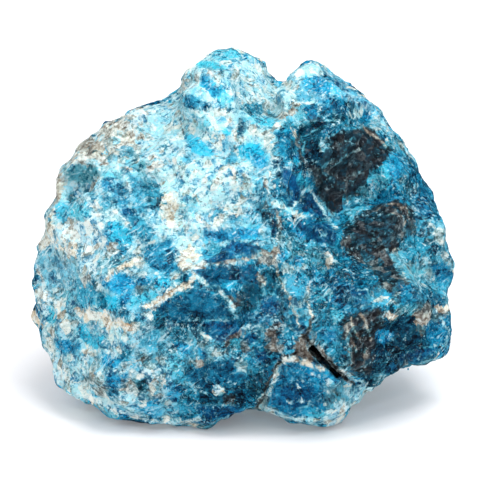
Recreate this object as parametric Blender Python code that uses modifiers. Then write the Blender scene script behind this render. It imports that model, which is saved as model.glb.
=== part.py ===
"""Rough blue apatite: one broken lump of grown-together blue crystals, standing on a small flat spot.

The stone is shaped face-on, the way its showy side is looked at: X to the right, Z up and -Y towards
the viewer, in millimetres from the middle of that side. It then leans back by LEAN and is set down on
its foot, so that +Z is up, the origin is on the ground under its middle, and everything is in metres.
"""

import math

import bmesh
import bpy
import numpy as np
from mathutils import Matrix, Vector

MM = 0.001

# The stone's size and stance
LEAN = math.radians(20)
FRONT_BULGE = 17.0
BACK_BULGE = 20.0
BACK_SAG = 0.6
BULGE_FULLNESS = 0.72
RIM_SLANT = 0.32
GROUND = -22.9

# The widest outline seen face-on, clockwise from the foot: (right, up) in mm
OUTLINE = [
    (1.1, -25.8), (-4.7, -26.3), (-10.1, -27.3), (-13.4, -26.6), (-16.7, -25.8), (-20.9, -24.9),
    (-24.4, -23.1), (-27.8, -20.4), (-29.4, -16.3), (-30.2, -10.8), (-30.4, -3.4), (-30.4, -0.4),
    (-29.0, 3.2), (-28.0, 6.7), (-27.4, 10.1), (-25.9, 12.1), (-23.4, 13.9), (-19.9, 16.3),
    (-17.2, 17.8), (-14.4, 18.9), (-11.6, 20.3), (-9.6, 21.3), (-9.3, 23.8), (-7.6, 26.1),
    (-5.7, 27.2), (-3.0, 28.9), (-1.4, 28.6), (1.6, 26.6), (3.6, 24.6), (4.5, 22.3),
    (5.3, 21.7), (6.1, 23.3), (8.4, 24.9), (10.0, 26.3), (11.9, 25.4), (13.5, 24.2),
    (14.9, 22.2), (18.4, 19.3), (20.2, 16.8), (22.3, 15.1), (25.3, 11.7), (26.5, 9.3),
    (27.9, 7.8), (28.8, 4.1), (29.1, 0.1), (30.2, -2.6), (31.2, -6.3), (29.7, -8.7),
    (29.8, -11.7), (29.4, -15.4), (28.0, -17.3), (24.6, -19.2), (20.3, -20.8), (18.5, -22.0),
    (17.0, -23.2), (15.4, -24.6), (13.4, -26.0), (11.1, -26.5), (7.1, -26.6), (4.3, -25.6),
]

# Where the stone broke and where crystals stand out of it, in the order in which they are shaped. Each
# row has: "cut" or "add", a name, the place face-on (right, up) in mm, the way that the flat face looks
# across the picture (0 right, 90 up) in deg, how far it turns away from the viewer in deg, how deep it
# lies in the bulge in mm, the flat face's width and height in mm, its sides, and its turn in deg.
WIDE = (64, 64)
FRONT = [
    ("cut", "left_shoulder", (-18, 13), 118, 50, 1.6, WIDE, 4, 0),
    ("cut", "left_flank", (-24, 3), 176, 46, 1.4, WIDE, 4, 0),
    ("cut", "plateau", (-6, 6), 118, 22, 1.8, WIDE, 4, 0),
    ("cut", "teal_face", (-6, -11), 262, 20, 1.4, WIDE, 4, 0),
    ("cut", "low_left", (-20, -17), 215, 50, 1.6, WIDE, 4, 0),
    ("cut", "under_front", (-6, -22), 268, 52, 1.0, WIDE, 4, 0),
    ("cut", "right_slope", (12, 3), 12, 26, 2.6, WIDE, 4, 0),
    ("cut", "right_rim", (20, 13), 40, 58, 1.2, WIDE, 4, 0),
    ("cut", "low_right", (22, -12), 330, 44, 1.6, WIDE, 4, 0),
    ("add", "crown", (-1.6, 18.8), 84, 20, -0.8, (8, 10), 6, 15),
    ("cut", "crown_side", (2.9, 19), 20, 50, 1.4, (6, 9), 5, 0),
    ("add", "azure_peak", (10.5, 19.5), 100, 24, -0.2, (7, 9), 5, 40),
    ("add", "upper_blade", (7.2, 9.8), 200, 14, 2.0, (3.4, 12), 6, 22),
    ("add", "lower_blade", (11.2, 1.4), 215, 14, 2.2, (3.6, 11), 6, 30),
    ("cut", "dark_window", (14.6, 9.8), 350, 30, 4.4, (11, 12), 6, 25),
    ("cut", "dark_floor", (17.4, -0.8), 320, 30, 3.6, (12, 8), 7, 10),
    ("cut", "right_scallop", (24, -4.4), 330, 44, 2.4, (5, 4), 8, 0),
    ("add", "dark_knob", (20.5, -13.6), 330, 34, 0.4, (12, 8), 7, 8),
    ("add", "loose_chunk", (9.6, -20.2), 262, 38, 1.6, (8.4, 6.2), 6, 20),
    ("add", "shoulder_slab", (-19.5, 13.0), 112, 44, 0.4, (13, 5), 6, 28),
    ("cut", "grey_hollow", (-24.0, 8.4), 190, 50, 2.4, (5, 3), 6, 0),
    ("cut", "deep_grain", (-16.0, 4.0), 120, 14, 2.2, (8, 7), 6, 30),
    ("add", "central_lump", (-2.5, -5.2), 80, 14, 0.6, (9, 6), 6, -15),
    ("cut", "teal_window", (-6.4, -11.8), 255, 24, 2.4, (11, 7), 6, -10),
]
BACK = [
    ("cut", "back_left", (-15, 2), 170, 38, 2.4, WIDE, 4, 0),
    ("cut", "back_right", (16, 4), 20, 34, 2.4, WIDE, 4, 0),
    ("cut", "back_top", (0, 12), 96, 30, 2.0, WIDE, 4, 0),
    ("cut", "back_middle", (3, -4), 60, 6, 2.2, WIDE, 4, 0),
    ("cut", "back_low_left", (-18, -14), 225, 44, 1.8, WIDE, 4, 0),
    ("cut", "back_low_right", (18, -14), 318, 40, 1.8, WIDE, 4, 0),
    ("add", "back_lump", (-7, -3), 140, 18, 0.6, (12, 10), 6, 20),
    ("cut", "back_hollow", (9, -9), 300, 20, 3.2, (11, 8), 6, -20),
]

# How far a crystal's sides lean out from its flat face, deg, and how deep its block is, mm
CRYSTAL_TAPER = math.radians(26)
BLOCK_DEPTH = 14.0
WIDE_BLOCK_DEPTH = 40.0

# Cracks seen face-on: how deep they go, mm, and their path as (right, up, width), mm
CRACKS = {
    "chunk_crack": (
        8.0, [(8.1, -13.6, 0.2), (9.4, -15.6, 0.9), (11.4, -17.9, 1.3), (13.4, -19.8, 0.8), (15.2, -21.4, 0.2)]
    ),
    "chunk_side_crack": (
        6.0, [(5.8, -17.4, 0.15), (4.4, -19.8, 0.5), (3.2, -22.4, 0.8), (1.9, -25.2, 1.2)]
    ),
}
CRACK_OPENING = 6.0

# The rough break between the crystals: (grain size, how far it stands out) in mm, coarse to fine
ROUGHNESS = [(9.0, 1.8), (4.6, 1.0), (2.4, 0.35)]
VOXEL = 0.55
FACETS_KEPT = 0.092


def outline_reach(angle):
    """How far the outline lies from the middle at an angle, mm."""
    corners = sorted((math.atan2(up, right), math.hypot(right, up)) for right, up in OUTLINE)
    angles = [a for a, _ in corners]
    reaches = [r for _, r in corners]
    return float(np.interp(angle, angles, reaches, period=2 * math.pi))


def bulge(share_of_depth, up, is_back):
    """How far in Y the unbroken stone lies, from its share of the full bulge, mm."""
    if is_back:
        depth = BACK_BULGE * (1 - BACK_SAG * up / max(up for _, up in OUTLINE))
    else:
        depth = -FRONT_BULGE
    return depth * share_of_depth + RIM_SLANT * up


def skin(right, up, is_back):
    """The Y of the unbroken stone at a place seen face-on, mm."""
    share = min(1.0, math.hypot(right, up) / outline_reach(math.atan2(up, right)))
    ring = share ** (1 / BULGE_FULLNESS)
    return bulge(math.sqrt(1 - ring * ring), up, is_back)


def object_of(bm, name):
    mesh = bpy.data.meshes.new(name)
    bm.to_mesh(mesh)
    bm.free()
    return bpy.data.objects.new(name, mesh)


def unbroken_lump():
    """A sphere whose rings take the outline's shape, fuller than a ball, and whose rim slants."""
    bm = bmesh.new()
    poles_to_viewer = Matrix.Rotation(math.pi / 2, 4, "X")
    bmesh.ops.create_uvsphere(bm, u_segments=160, v_segments=56, radius=1, matrix=poles_to_viewer)
    for vert in bm.verts:
        x, y, z = vert.co
        ring = math.hypot(x, z)
        stretch = 0 if ring < 1e-6 else outline_reach(math.atan2(z, x)) * ring ** (BULGE_FULLNESS - 1)
        vert.co = Vector((x * stretch, bulge(abs(y), z * stretch, y > 0), z * stretch)) * MM
    return object_of(bm, "unbroken_lump")


def block(is_back, kind, name, at, toward, slope, bite, size, sides, turn):
    """A flat-faced crystal, or the space of one that broke out: a prism with leaning sides."""
    right, up = at
    toward, slope = math.radians(toward), math.radians(slope)
    outwards = 1 if is_back else -1
    across = math.sin(slope)
    looks = Vector((math.cos(toward) * across, math.cos(slope) * outwards, math.sin(toward) * across))
    face = Vector((right, skin(right, up, is_back), up)) - looks * bite
    depth = WIDE_BLOCK_DEPTH if size == WIDE else BLOCK_DEPTH
    flare = depth * math.tan(CRYSTAL_TAPER)
    # Its flat face is the inner end of a block that is cut out, and the outer end of one that stands out.
    away = 1 if kind == "cut" else -1
    bm = bmesh.new()
    bmesh.ops.create_cone(
        bm, cap_ends=True, segments=sides, radius1=math.sqrt(0.5), radius2=math.sqrt(0.5), depth=depth
    )
    for vert in bm.verts:
        grown = flare if vert.co.z * away > 0 else 0
        vert.co.x *= size[0] + grown
        vert.co.y *= size[1] + grown
    bmesh.ops.triangulate(bm, faces=bm.faces)
    prism = object_of(bm, name)
    prism.data.transform(
        Matrix.Scale(MM, 4)
        @ Matrix.Translation(face + looks * away * depth / 2)
        @ looks.to_track_quat("Z", "Y").to_matrix().to_4x4()
        @ Matrix.Rotation(math.radians(turn) + math.pi / sides, 4, "Z")
    )
    return prism


def crack(name, depth, path):
    """A thin wedge of air along a path, open to the viewer."""
    left, right = [], []
    for i, (x, z, width) in enumerate(path):
        before, after = path[max(i - 1, 0)], path[min(i + 1, len(path) - 1)]
        along = Vector((after[0] - before[0], after[1] - before[1])).normalized()
        side = Vector((-along.y, along.x)) * width / 2
        left.append((x + side.x, z + side.y))
        right.append((x - side.x, z - side.y))
    rim = left + right[::-1]
    bm = bmesh.new()
    outer = [bm.verts.new((x, skin(x, z, False) - CRACK_OPENING, z)) for x, z in rim]
    inner = [bm.verts.new((x, skin(x, z, False) + depth, z)) for x, z in rim]
    bm.faces.new(outer)
    bm.faces.new(inner[::-1])
    for i in range(len(rim)):
        j = (i + 1) % len(rim)
        bm.faces.new((outer[j], outer[i], inner[i], inner[j]))
    bmesh.ops.triangulate(bm, faces=bm.faces)
    bmesh.ops.recalc_face_normals(bm, faces=bm.faces)
    wedge = object_of(bm, name)
    wedge.data.transform(Matrix.Scale(MM, 4))
    return wedge


def ground_block():
    """Everything under the ground on which the stone rests."""
    bm = bmesh.new()
    bmesh.ops.create_cube(bm, size=100)
    bmesh.ops.triangulate(bm, faces=bm.faces)
    under = object_of(bm, "ground")
    under.data.transform(
        Matrix.Scale(MM, 4) @ Matrix.Rotation(LEAN, 4, "X") @ Matrix.Translation((0, 0, GROUND - 50))
    )
    return under


def hide_helper(helper, collection):
    helper.hide_render = True
    helper.display_type = "WIRE"
    collection.objects.link(helper)


def add_boolean(stone, other, operation, helpers):
    hide_helper(other, helpers)
    step = stone.modifiers.new(other.name, "BOOLEAN")
    step.object = other
    step.operation = operation


def add_remesh(stone, name, voxel):
    fused = stone.modifiers.new(name, "REMESH")
    fused.mode = "VOXEL"
    fused.voxel_size = voxel * MM


def add_roughness(stone, helpers, grain, height, number):
    """Flat-sided grains: a Voronoi pattern whose distance runs along tilted axes."""
    pattern = bpy.data.textures.new(f"grains_{number}", "VORONOI")
    pattern.distance_metric = "MANHATTAN"
    pattern.noise_scale = grain * MM
    axes = bpy.data.objects.new(f"grain_axes_{number}", None)
    axes.rotation_euler = (0.5 + number, 0.9 * number, 0.4)
    helpers.objects.link(axes)
    rough = stone.modifiers.new(f"grains_{number}", "DISPLACE")
    rough.texture = pattern
    rough.texture_coords = "OBJECT"
    rough.texture_coords_object = axes
    rough.direction = "NORMAL"
    rough.strength = -height * MM
    rough.mid_level = 0.6


def set_down(stone):
    """Keeps what the modifiers made, leans it back, and puts its origin on the ground under its middle."""
    graph = bpy.context.evaluated_depsgraph_get()
    mesh = bpy.data.meshes.new_from_object(stone.evaluated_get(graph))
    mesh.transform(Matrix.Rotation(-LEAN, 4, "X"))
    points = np.array([vert.co for vert in mesh.vertices])
    low, high = points.min(axis=0), points.max(axis=0)
    middle = (low + high) / 2
    mesh.transform(Matrix.Translation((-middle[0], -middle[1], -low[2])))
    stone.modifiers.clear()
    stone.data = mesh


def stone_material():
    blue = bpy.data.materials.new("apatite")
    blue.use_nodes = True
    surface = blue.node_tree.nodes["Principled BSDF"]
    surface.inputs["Base Color"].default_value = (0.05, 0.26, 0.42, 1)
    surface.inputs["Roughness"].default_value = 0.35
    return blue


def main():
    for leftover in list(bpy.data.objects):
        bpy.data.objects.remove(leftover)
    parts = bpy.data.collections.new("rough_blue_apatite")
    helpers = bpy.data.collections.new("helpers")
    bpy.context.scene.collection.children.link(parts)
    bpy.context.scene.collection.children.link(helpers)

    stone = unbroken_lump()
    stone.name = "apatite"
    parts.objects.link(stone)
    for is_back, rows in ((False, FRONT), (True, BACK)):
        for row in rows:
            operation = "DIFFERENCE" if row[0] == "cut" else "UNION"
            add_boolean(stone, block(is_back, *row), operation, helpers)
    add_remesh(stone, "fused", VOXEL)
    for number, (grain, height) in enumerate(ROUGHNESS):
        add_roughness(stone, helpers, grain, height, number)
    add_remesh(stone, "fused again", VOXEL)
    fewer = stone.modifiers.new("flat facets", "DECIMATE")
    fewer.ratio = FACETS_KEPT
    for name, (depth, path) in CRACKS.items():
        add_boolean(stone, crack(name, depth, path), "DIFFERENCE", helpers)
    add_boolean(stone, ground_block(), "DIFFERENCE", helpers)
    set_down(stone)
    stone.data.materials.append(stone_material())


main()
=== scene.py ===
# %% [markdown]
# # Rough blue apatite
#
# The object is a lump of blue apatite, broken out of the ground: hundreds of glassy crystal grains
# grown into each other, with chalky white and rusty seams between them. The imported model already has
# the lump's big faces, its two peaks, the dark recess and the cracks. This scene gives it what a
# person sees from close by: small crystal faces, chips, seams, colours and gloss.
#
# Everything is in metres, with Z up, and the stone stands on the ground at Z = 0.

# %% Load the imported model
import math

import bpy
import numpy as np
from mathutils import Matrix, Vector


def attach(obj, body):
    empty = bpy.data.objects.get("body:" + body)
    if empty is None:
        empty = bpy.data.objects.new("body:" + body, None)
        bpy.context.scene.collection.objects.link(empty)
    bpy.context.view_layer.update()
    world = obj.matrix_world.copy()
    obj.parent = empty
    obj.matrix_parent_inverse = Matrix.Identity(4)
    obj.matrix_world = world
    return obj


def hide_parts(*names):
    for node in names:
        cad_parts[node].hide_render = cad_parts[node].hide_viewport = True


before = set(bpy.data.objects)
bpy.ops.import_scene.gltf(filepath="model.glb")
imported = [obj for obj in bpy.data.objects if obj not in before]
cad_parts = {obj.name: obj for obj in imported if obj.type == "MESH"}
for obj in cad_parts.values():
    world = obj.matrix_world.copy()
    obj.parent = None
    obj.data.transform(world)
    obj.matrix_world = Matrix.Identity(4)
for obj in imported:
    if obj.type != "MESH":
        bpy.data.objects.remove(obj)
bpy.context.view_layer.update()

MM = 0.001

# %% [markdown]
# ## The camera
#
# The camera comes first, because the showy side's colours are placed by how it sees the stone. It
# looks down by 20 degrees through a long lens, which keeps the outline nearly free of perspective.
# Places on the showy side are given as (right, up) in millimetres from its middle, as on a flat
# picture held at right angles to the view.

# %% Camera
VIEW_DOWN = math.radians(20)
FRAME_WIDTH = 68.57 * MM
LENS = 400.0
SENSOR = 36.0
# Where the middle of the showy side lies in the part's frame, and what the camera aims at from there
SHOWY_MIDDLE = Vector((0.24, 1.93, 22.9)) * MM
AIM = (-0.57, -0.57)

to_viewer = Vector((0, -math.cos(VIEW_DOWN), math.sin(VIEW_DOWN)))
picture_right = Vector((1, 0, 0))
picture_up = Vector((0, math.sin(VIEW_DOWN), math.cos(VIEW_DOWN)))
distance = FRAME_WIDTH * LENS / SENSOR

camera_data = bpy.data.cameras.new("camera")
camera_data.lens = LENS
camera_data.sensor_width = SENSOR
camera_data.clip_end = 10
camera = bpy.data.objects.new("camera", camera_data)
bpy.context.scene.collection.objects.link(camera)
camera.location = SHOWY_MIDDLE + (picture_right * AIM[0] + picture_up * AIM[1]) * MM + to_viewer * distance
camera.rotation_euler = (math.pi / 2 - VIEW_DOWN, 0, 0)
bpy.context.scene.camera = camera


def seen_from_camera(places):
    """Right and up in mm of places in metres, as the camera sees them."""
    places = (places - np.array(SHOWY_MIDDLE)) / MM
    near = places @ np.array(to_viewer)
    grown = (distance / MM) / (distance / MM - near)
    return (places @ np.array(picture_right)) * grown, (places @ np.array(picture_up)) * grown


print("camera", round(distance, 3), "m away")

# %% [markdown]
# ## A fine copy of the stone
#
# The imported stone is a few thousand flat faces, too coarse for grains of a millimetre. A copy is
# merged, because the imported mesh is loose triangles, and then remeshed into even little squares. The
# voxel remesh keeps every big face and crack, and its even points can be pushed in and out freely.

# %% Copy the stone
FINE_STEP = 0.35


def select_only(thing):
    bpy.ops.object.select_all(action="DESELECT")
    thing.select_set(True)
    bpy.context.view_layer.objects.active = thing


def apply_modifier(thing, kind, **settings):
    select_only(thing)
    modifier = thing.modifiers.new(kind, kind)
    for name, value in settings.items():
        setattr(modifier, name, value)
    bpy.ops.object.modifier_apply(modifier=modifier.name)


select_only(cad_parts["apatite"])
bpy.ops.object.duplicate()
stone = bpy.context.view_layer.objects.active
stone.name = "stone"
bpy.ops.object.mode_set(mode="EDIT")
bpy.ops.mesh.select_all(action="SELECT")
bpy.ops.mesh.remove_doubles(threshold=0.00001)
bpy.ops.object.mode_set(mode="OBJECT")
apply_modifier(stone, "REMESH", mode="VOXEL", voxel_size=FINE_STEP * MM)
print("stone has", len(stone.data.vertices), "points")

# %% [markdown]
# ## Noise and grains
#
# Crystals are worked out point by point with numpy, which is quick for a hundred thousand points.
# Two kinds of pattern are enough: smooth noise for soft changes, and grains, where every point
# belongs to the nearest of many scattered seeds. Both come from a steady mix of sines, so the stone
# comes out the same each time.


# %% Noise and grain helpers
def random_of(cells, salt):
    """A steady random number from 0 to 1 for each row of whole numbers."""
    mixed = cells @ np.array([127.1, 311.7, 74.7]) + salt * 53.3
    return np.modf(np.abs(np.sin(mixed) * 43758.5453))[0]


def smooth_noise(places, size, salt):
    """Noise from -1 to 1 that changes over about the given size."""
    scaled = places / size
    corner = np.floor(scaled)
    inside = scaled - corner
    blend = inside * inside * (3 - 2 * inside)
    total = np.zeros(len(places))
    for step in np.ndindex(2, 2, 2):
        share = np.prod(np.where(step, blend, 1 - blend), axis=1)
        total += share * random_of(corner + step, salt)
    return total * 2 - 1


def cloudy_noise(places, size, salt):
    """Smooth noise with finer noise on top, about -1 to 1."""
    total = sum(smooth_noise(places, size / 2**k, salt + k * 7) / 2**k for k in range(3))
    return total / 1.4


def warped(places, size, reach, salt):
    """The places, each shifted by up to reach, so that straight edges become broken ones."""
    return places + np.stack([smooth_noise(places, size, salt + k) for k in range(3)], axis=1) * reach


def grains(places, size, salt):
    """For each place: its grain's number and middle, and how far inside the grain it lies, in metres."""
    scaled = places / size
    home = np.floor(scaled)
    best = np.full(len(places), 9.0)
    second = np.full(len(places), 9.0)
    middle = np.zeros_like(places)
    number = np.zeros_like(places)
    for step in np.ndindex(3, 3, 3):
        cell = home + np.array(step) - 1
        seed = cell + np.stack([random_of(cell, salt + k) for k in range(3)], axis=1)
        away = np.linalg.norm(scaled - seed, axis=1)
        nearer = away < best
        second = np.where(nearer, best, np.minimum(second, away))
        middle = np.where(nearer[:, None], seed, middle)
        number = np.where(nearer[:, None], cell, number)
        best = np.where(nearer, away, best)
    return number, middle * size, (second - best) * size / 2


def crystal_height(places, size, salt):
    """How far each place lies from its nearest seed, measured by turned cubes, so that it has flat faces."""
    scaled = places / size
    home = np.floor(scaled)
    best = np.full(len(places), 9.0)
    for step in np.ndindex(3, 3, 3):
        cell = home + np.array(step) - 1
        seed = cell + np.stack([random_of(cell, salt + k) for k in range(3)], axis=1)
        turn = random_of(cell, salt + 3) * 2 * math.pi
        lean = random_of(cell, salt + 4) * 2 * math.pi
        x, y, z = (scaled - seed).T
        x, y = x * np.cos(turn) - y * np.sin(turn), x * np.sin(turn) + y * np.cos(turn)
        y, z = y * np.cos(lean) - z * np.sin(lean), y * np.sin(lean) + z * np.cos(lean)
        best = np.minimum(best, np.maximum(np.maximum(abs(x), abs(y)), abs(z)))
    return best * size


def points_of(thing):
    points = np.empty(len(thing.data.vertices) * 3)
    thing.data.vertices.foreach_get("co", points)
    return points.reshape(-1, 3)


def normals_of(thing):
    normals = np.empty(len(thing.data.vertices) * 3)
    thing.data.vertex_normals.foreach_get("vector", normals)
    return normals.reshape(-1, 3)


def move_points(thing, points):
    thing.data.vertices.foreach_set("co", points.reshape(-1))
    thing.data.update()


# %% [markdown]
# ## Crystal faces
#
# A broken crystal lump is all flat little faces that meet in sharp, irregular edges. Each layer here
# pushes the surface by the distance to scattered seeds, measured as if by turned cubes: that height
# is flat on every crystal and folds sharply between them. Three layers, from coarse to fine, give the
# steps, the grains and the grit. The foot stays flat, because the stone rests on it.

# %% Crystal faces
# Size of the crystals and height of their faces, both in mm
CRYSTAL_LAYERS = [(6.5, 0.8), (3.1, 0.75), (1.5, 0.42)]
FOOT_HEIGHT = 0.8
# Places seen from the camera, in mm, where the outline is pressed in: right, up, reach and depth
NUDGES = [
    (-30.6, -6.6, 4, 0.7), (18.7, 17.3, 5, 0.6), (2.4, 23.6, 2.5, 0.7), (-8.6, 22.5, 2.5, 0.6),
    (29.0, 1.6, 2.5, 0.5),
]

places = points_of(stone)
normals = normals_of(stone)
above_foot = np.clip((places[:, 2] / MM - FOOT_HEIGHT) / 1.2, 0, 1)
twisted = warped(places, 3.0 * MM, 0.7 * MM, 1)
moved = places.copy()
for number, (size, height) in enumerate(CRYSTAL_LAYERS):
    rise = crystal_height(twisted, size * MM, 10 + number * 6) / (size * MM)
    rise = (rise - rise.mean()) * height * MM * above_foot
    moved += normals * rise[:, None]
    print("crystals of", size, "mm moved the surface by up to", round(float(abs(rise).max()) / MM, 2), "mm")
nudge_right, nudge_up = seen_from_camera(places)
for right, up, reach, depth in NUDGES:
    away = ((nudge_right - right) ** 2 + (nudge_up - up) ** 2) / reach**2
    moved -= normals * (np.exp(-away) * depth * MM)[:, None]
move_points(stone, moved)

# %% [markdown]
# ## Straight edges
#
# The even little squares saw through every crystal edge. Decimate collapses them into triangles that
# follow the faces, large where the stone is flat and small along an edge, so the creases come out
# straight and sharp. These triangles are the stone's smallest crystal facets.

# %% Straight edges
KEPT_FACES = 0.42

apply_modifier(stone, "DECIMATE", ratio=KEPT_FACES, use_collapse_triangulate=True)
stone.data.shade_flat()
print(len(stone.data.polygons), "facets")

# %% [markdown]
# ## The colours of apatite
#
# The blue runs from pale sky in thin, cracked crystals to nearly black where the crystal is deep and
# clean. Between the crystals lie chalky white, sand and rust from the ground. Naming each colour once
# lets every later step say "azure" or "sand" instead of three numbers.

# %% Palette
# Colours as seen on a screen, 0 to 255
PALETTE = {
    "white": (240, 248, 246),
    "ice": (214, 234, 236),
    "chalk": (206, 216, 214),
    "mist": (180, 206, 216),
    "sky": (128, 202, 222),
    "cyan": (100, 208, 234),
    "bright": (30, 198, 234),
    "azure": (0, 160, 208),
    "azuredeep": (6, 138, 180),
    "blue": (10, 128, 172),
    "royal": (0, 110, 168),
    "deep": (0, 96, 146),
    "deepblue": (6, 90, 140),
    "deepteal": (8, 110, 148),
    "teal": (30, 122, 150),
    "mistteal": (124, 164, 180),
    "pine": (14, 76, 100),
    "pinedark": (8, 60, 90),
    "slate": (76, 108, 122),
    "slateteal": (130, 168, 178),
    "steel": (108, 168, 198),
    "steelblue": (74, 140, 182),
    "steeldark": (20, 90, 128),
    "navy": (26, 74, 104),
    "navyblue": (34, 90, 122),
    "inknavy": (58, 76, 94),
    "ink": (52, 62, 80),
    "cream": (226, 212, 184),
    "sand": (174, 150, 124),
    "sandbrown": (146, 126, 106),
    "grey": (148, 136, 118),
    "greybrown": (112, 88, 70),
    "brown": (84, 52, 36),
    "rust": (160, 100, 60),
    "ochre": (196, 146, 88),
    "soil": (30, 22, 18),
    # Painted shade for the cracks: nearly black, since hardly any light comes back out of one
    "pit": (6, 6, 8),
    "lavender": (150, 184, 214),
}
# How chalky a colour's surface is: 0 is glassy crystal, 1 is dry dust. Colours not named are 0.15.
CHALKY = {
    "white": 0.52, "ice": 0.45, "chalk": 0.9, "mist": 0.5, "cream": 0.9, "sand": 1.0, "sandbrown": 1.0,
    "grey": 0.9, "greybrown": 1.0, "brown": 1.0, "rust": 1.0, "ochre": 1.0, "soil": 1.0, "pit": 1.0,
    "lavender": 0.4, "slate": 0.5, "mistteal": 0.4, "sky": 0.3, "ink": 0.5, "inknavy": 0.5,
}


# Reflected light adds a little white to everything seen, so the pigment itself is deeper and stronger
PIGMENT = 1.22
DEEPENING = 0.47
RED_KEPT = 0.4


def light_of(colour):
    """A screen colour as the light that the shader works with."""
    values = np.array(PALETTE[colour]) / 255
    light = np.where(values <= 0.04045, values / 12.92, ((values + 0.055) / 1.055) ** 2.4)
    blueness = np.clip((light[2] - light[0]) * 3, 0, 1)
    light[0] *= 1 - (1 - RED_KEPT) * blueness
    return light * light.mean() ** DEEPENING * PIGMENT


print(len(PALETTE), "colours")

# %% [markdown]
# ## Colour that grows with the crystals
#
# Everywhere on the stone, also behind and below, neighbouring crystals differ: one pale, one azure,
# one nearly black. Large soft noise says where the stone is chalky and where it is deep, and every
# grain then picks its own colour from what suits that place.

# %% Natural colouring
FROM_PALE_TO_DEEP = [
    "white", "ice", "cream", "sky", "mistteal", "bright", "teal", "azure", "steelblue", "blue",
    "azuredeep", "deepteal", "deep", "navy", "inknavy",
]
colour_steps = np.array([light_of(name) for name in FROM_PALE_TO_DEEP])
chalk_steps = np.array([CHALKY.get(name, 0.15) for name in FROM_PALE_TO_DEEP])


def natural_colouring(places, behind):
    """Light, chalkiness and cleanness of each place, as the grains grow. Large faces show behind only."""
    twisted = warped(places, 2.0 * MM, 0.6 * MM, 31)
    coarse, coarse_middle, _ = grains(twisted, 3.4 * MM, 40)
    fine, _, _ = grains(twisted, 1.4 * MM, 50)
    face, _, from_border = grains(warped(places, 5.0 * MM, 1.5 * MM, 34), 8.0 * MM, 45)
    clean = (random_of(face, 73) < 0.4) * 0.8 * behind
    speckles = 0.38 * (random_of(coarse, 70) - 0.5) + 0.34 * (random_of(fine, 71) - 0.5)
    depth = 0.42 + 0.30 * cloudy_noise(coarse_middle, 14 * MM, 60) + speckles * (1 - clean)
    depth += (0.6 * (random_of(face, 72) - 0.35) + 0.15 * clean) * behind
    pick = np.clip(depth, 0, 0.999) * len(FROM_PALE_TO_DEEP)
    step = pick.astype(int)
    colour = colour_steps[step].copy()
    chalk = chalk_steps[step].copy()
    seam = np.clip(1.5 - from_border / (0.3 * MM), 0, 1)
    seam *= np.clip(0.4 + 2 * cloudy_noise(places, 6 * MM, 75), 0, 1)
    seam = (seam * behind * 0.8)[:, None]
    seam_colour = np.where(random_of(face, 74)[:, None] < 0.5, light_of("cream"), light_of("ice"))
    colour += (seam_colour - colour) * seam
    return colour, chalk, clean


first_light, _, _ = natural_colouring(points_of(stone)[:1], np.ones(1))
print("natural light of the first point:", first_light.round(2))

# %% [markdown]
# ## Faces and seams of the showy side
#
# The side that faces the viewer has its own well-known faces: pale chalky shoulder, azure patches,
# the deep band across the middle, the black window at the upper right. They are laid on like a
# painter's blocking-in. Each row is a colour, how fully it covers, how clean the crystal is (0 is
# speckled, 1 is one clear face) and the corners as (right, up) in mm.

# %% Paint helpers
def inside_by(right, up, corners):
    """How many mm each place lies inside the outline, below 0 outside it."""
    nearest = np.full(len(right), 1e3)
    inside = np.zeros(len(right), bool)
    for (x0, y0), (x1, y1) in zip(corners, corners[1:] + corners[:1]):
        across, rise = x1 - x0, y1 - y0
        along = np.clip(((right - x0) * across + (up - y0) * rise) / (across**2 + rise**2), 0, 1)
        nearest = np.minimum(nearest, np.hypot(right - x0 - along * across, up - y0 - along * rise))
        if rise:
            inside ^= ((y0 > up) != (y1 > up)) & (right < across * (up - y0) / rise + x0)
    return np.where(inside, nearest, -nearest)


def seam_cover(right, up, width, points):
    """1 along the middle of a line through the points, falling to 0 at its width."""
    nearest = np.full(len(right), 1e3)
    for (x0, y0), (x1, y1) in zip(points, points[1:]):
        across, rise = x1 - x0, y1 - y0
        along = np.clip(((right - x0) * across + (up - y0) * rise) / (across**2 + rise**2), 0, 1)
        nearest = np.minimum(nearest, np.hypot(right - x0 - along * across, up - y0 - along * rise))
    return np.clip(1.4 - nearest / (width / 2) * 0.9, 0, 1)


test_depth = inside_by(np.zeros(1), np.zeros(1), [(-1, -1), (1, -1), (0, 1)])[0]
print("the middle of a small triangle lies", test_depth.round(2), "mm inside it")

# %% [markdown]
# ## Grounds
#
# A painter blocks in the large areas first. Each ground gives one part of the stone its general
# colour: ice and mist on the light left, teal in the middle, and deep teal and navy on the right.
# None of them is clean, so the natural colouring still shows through as speckles.

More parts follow.
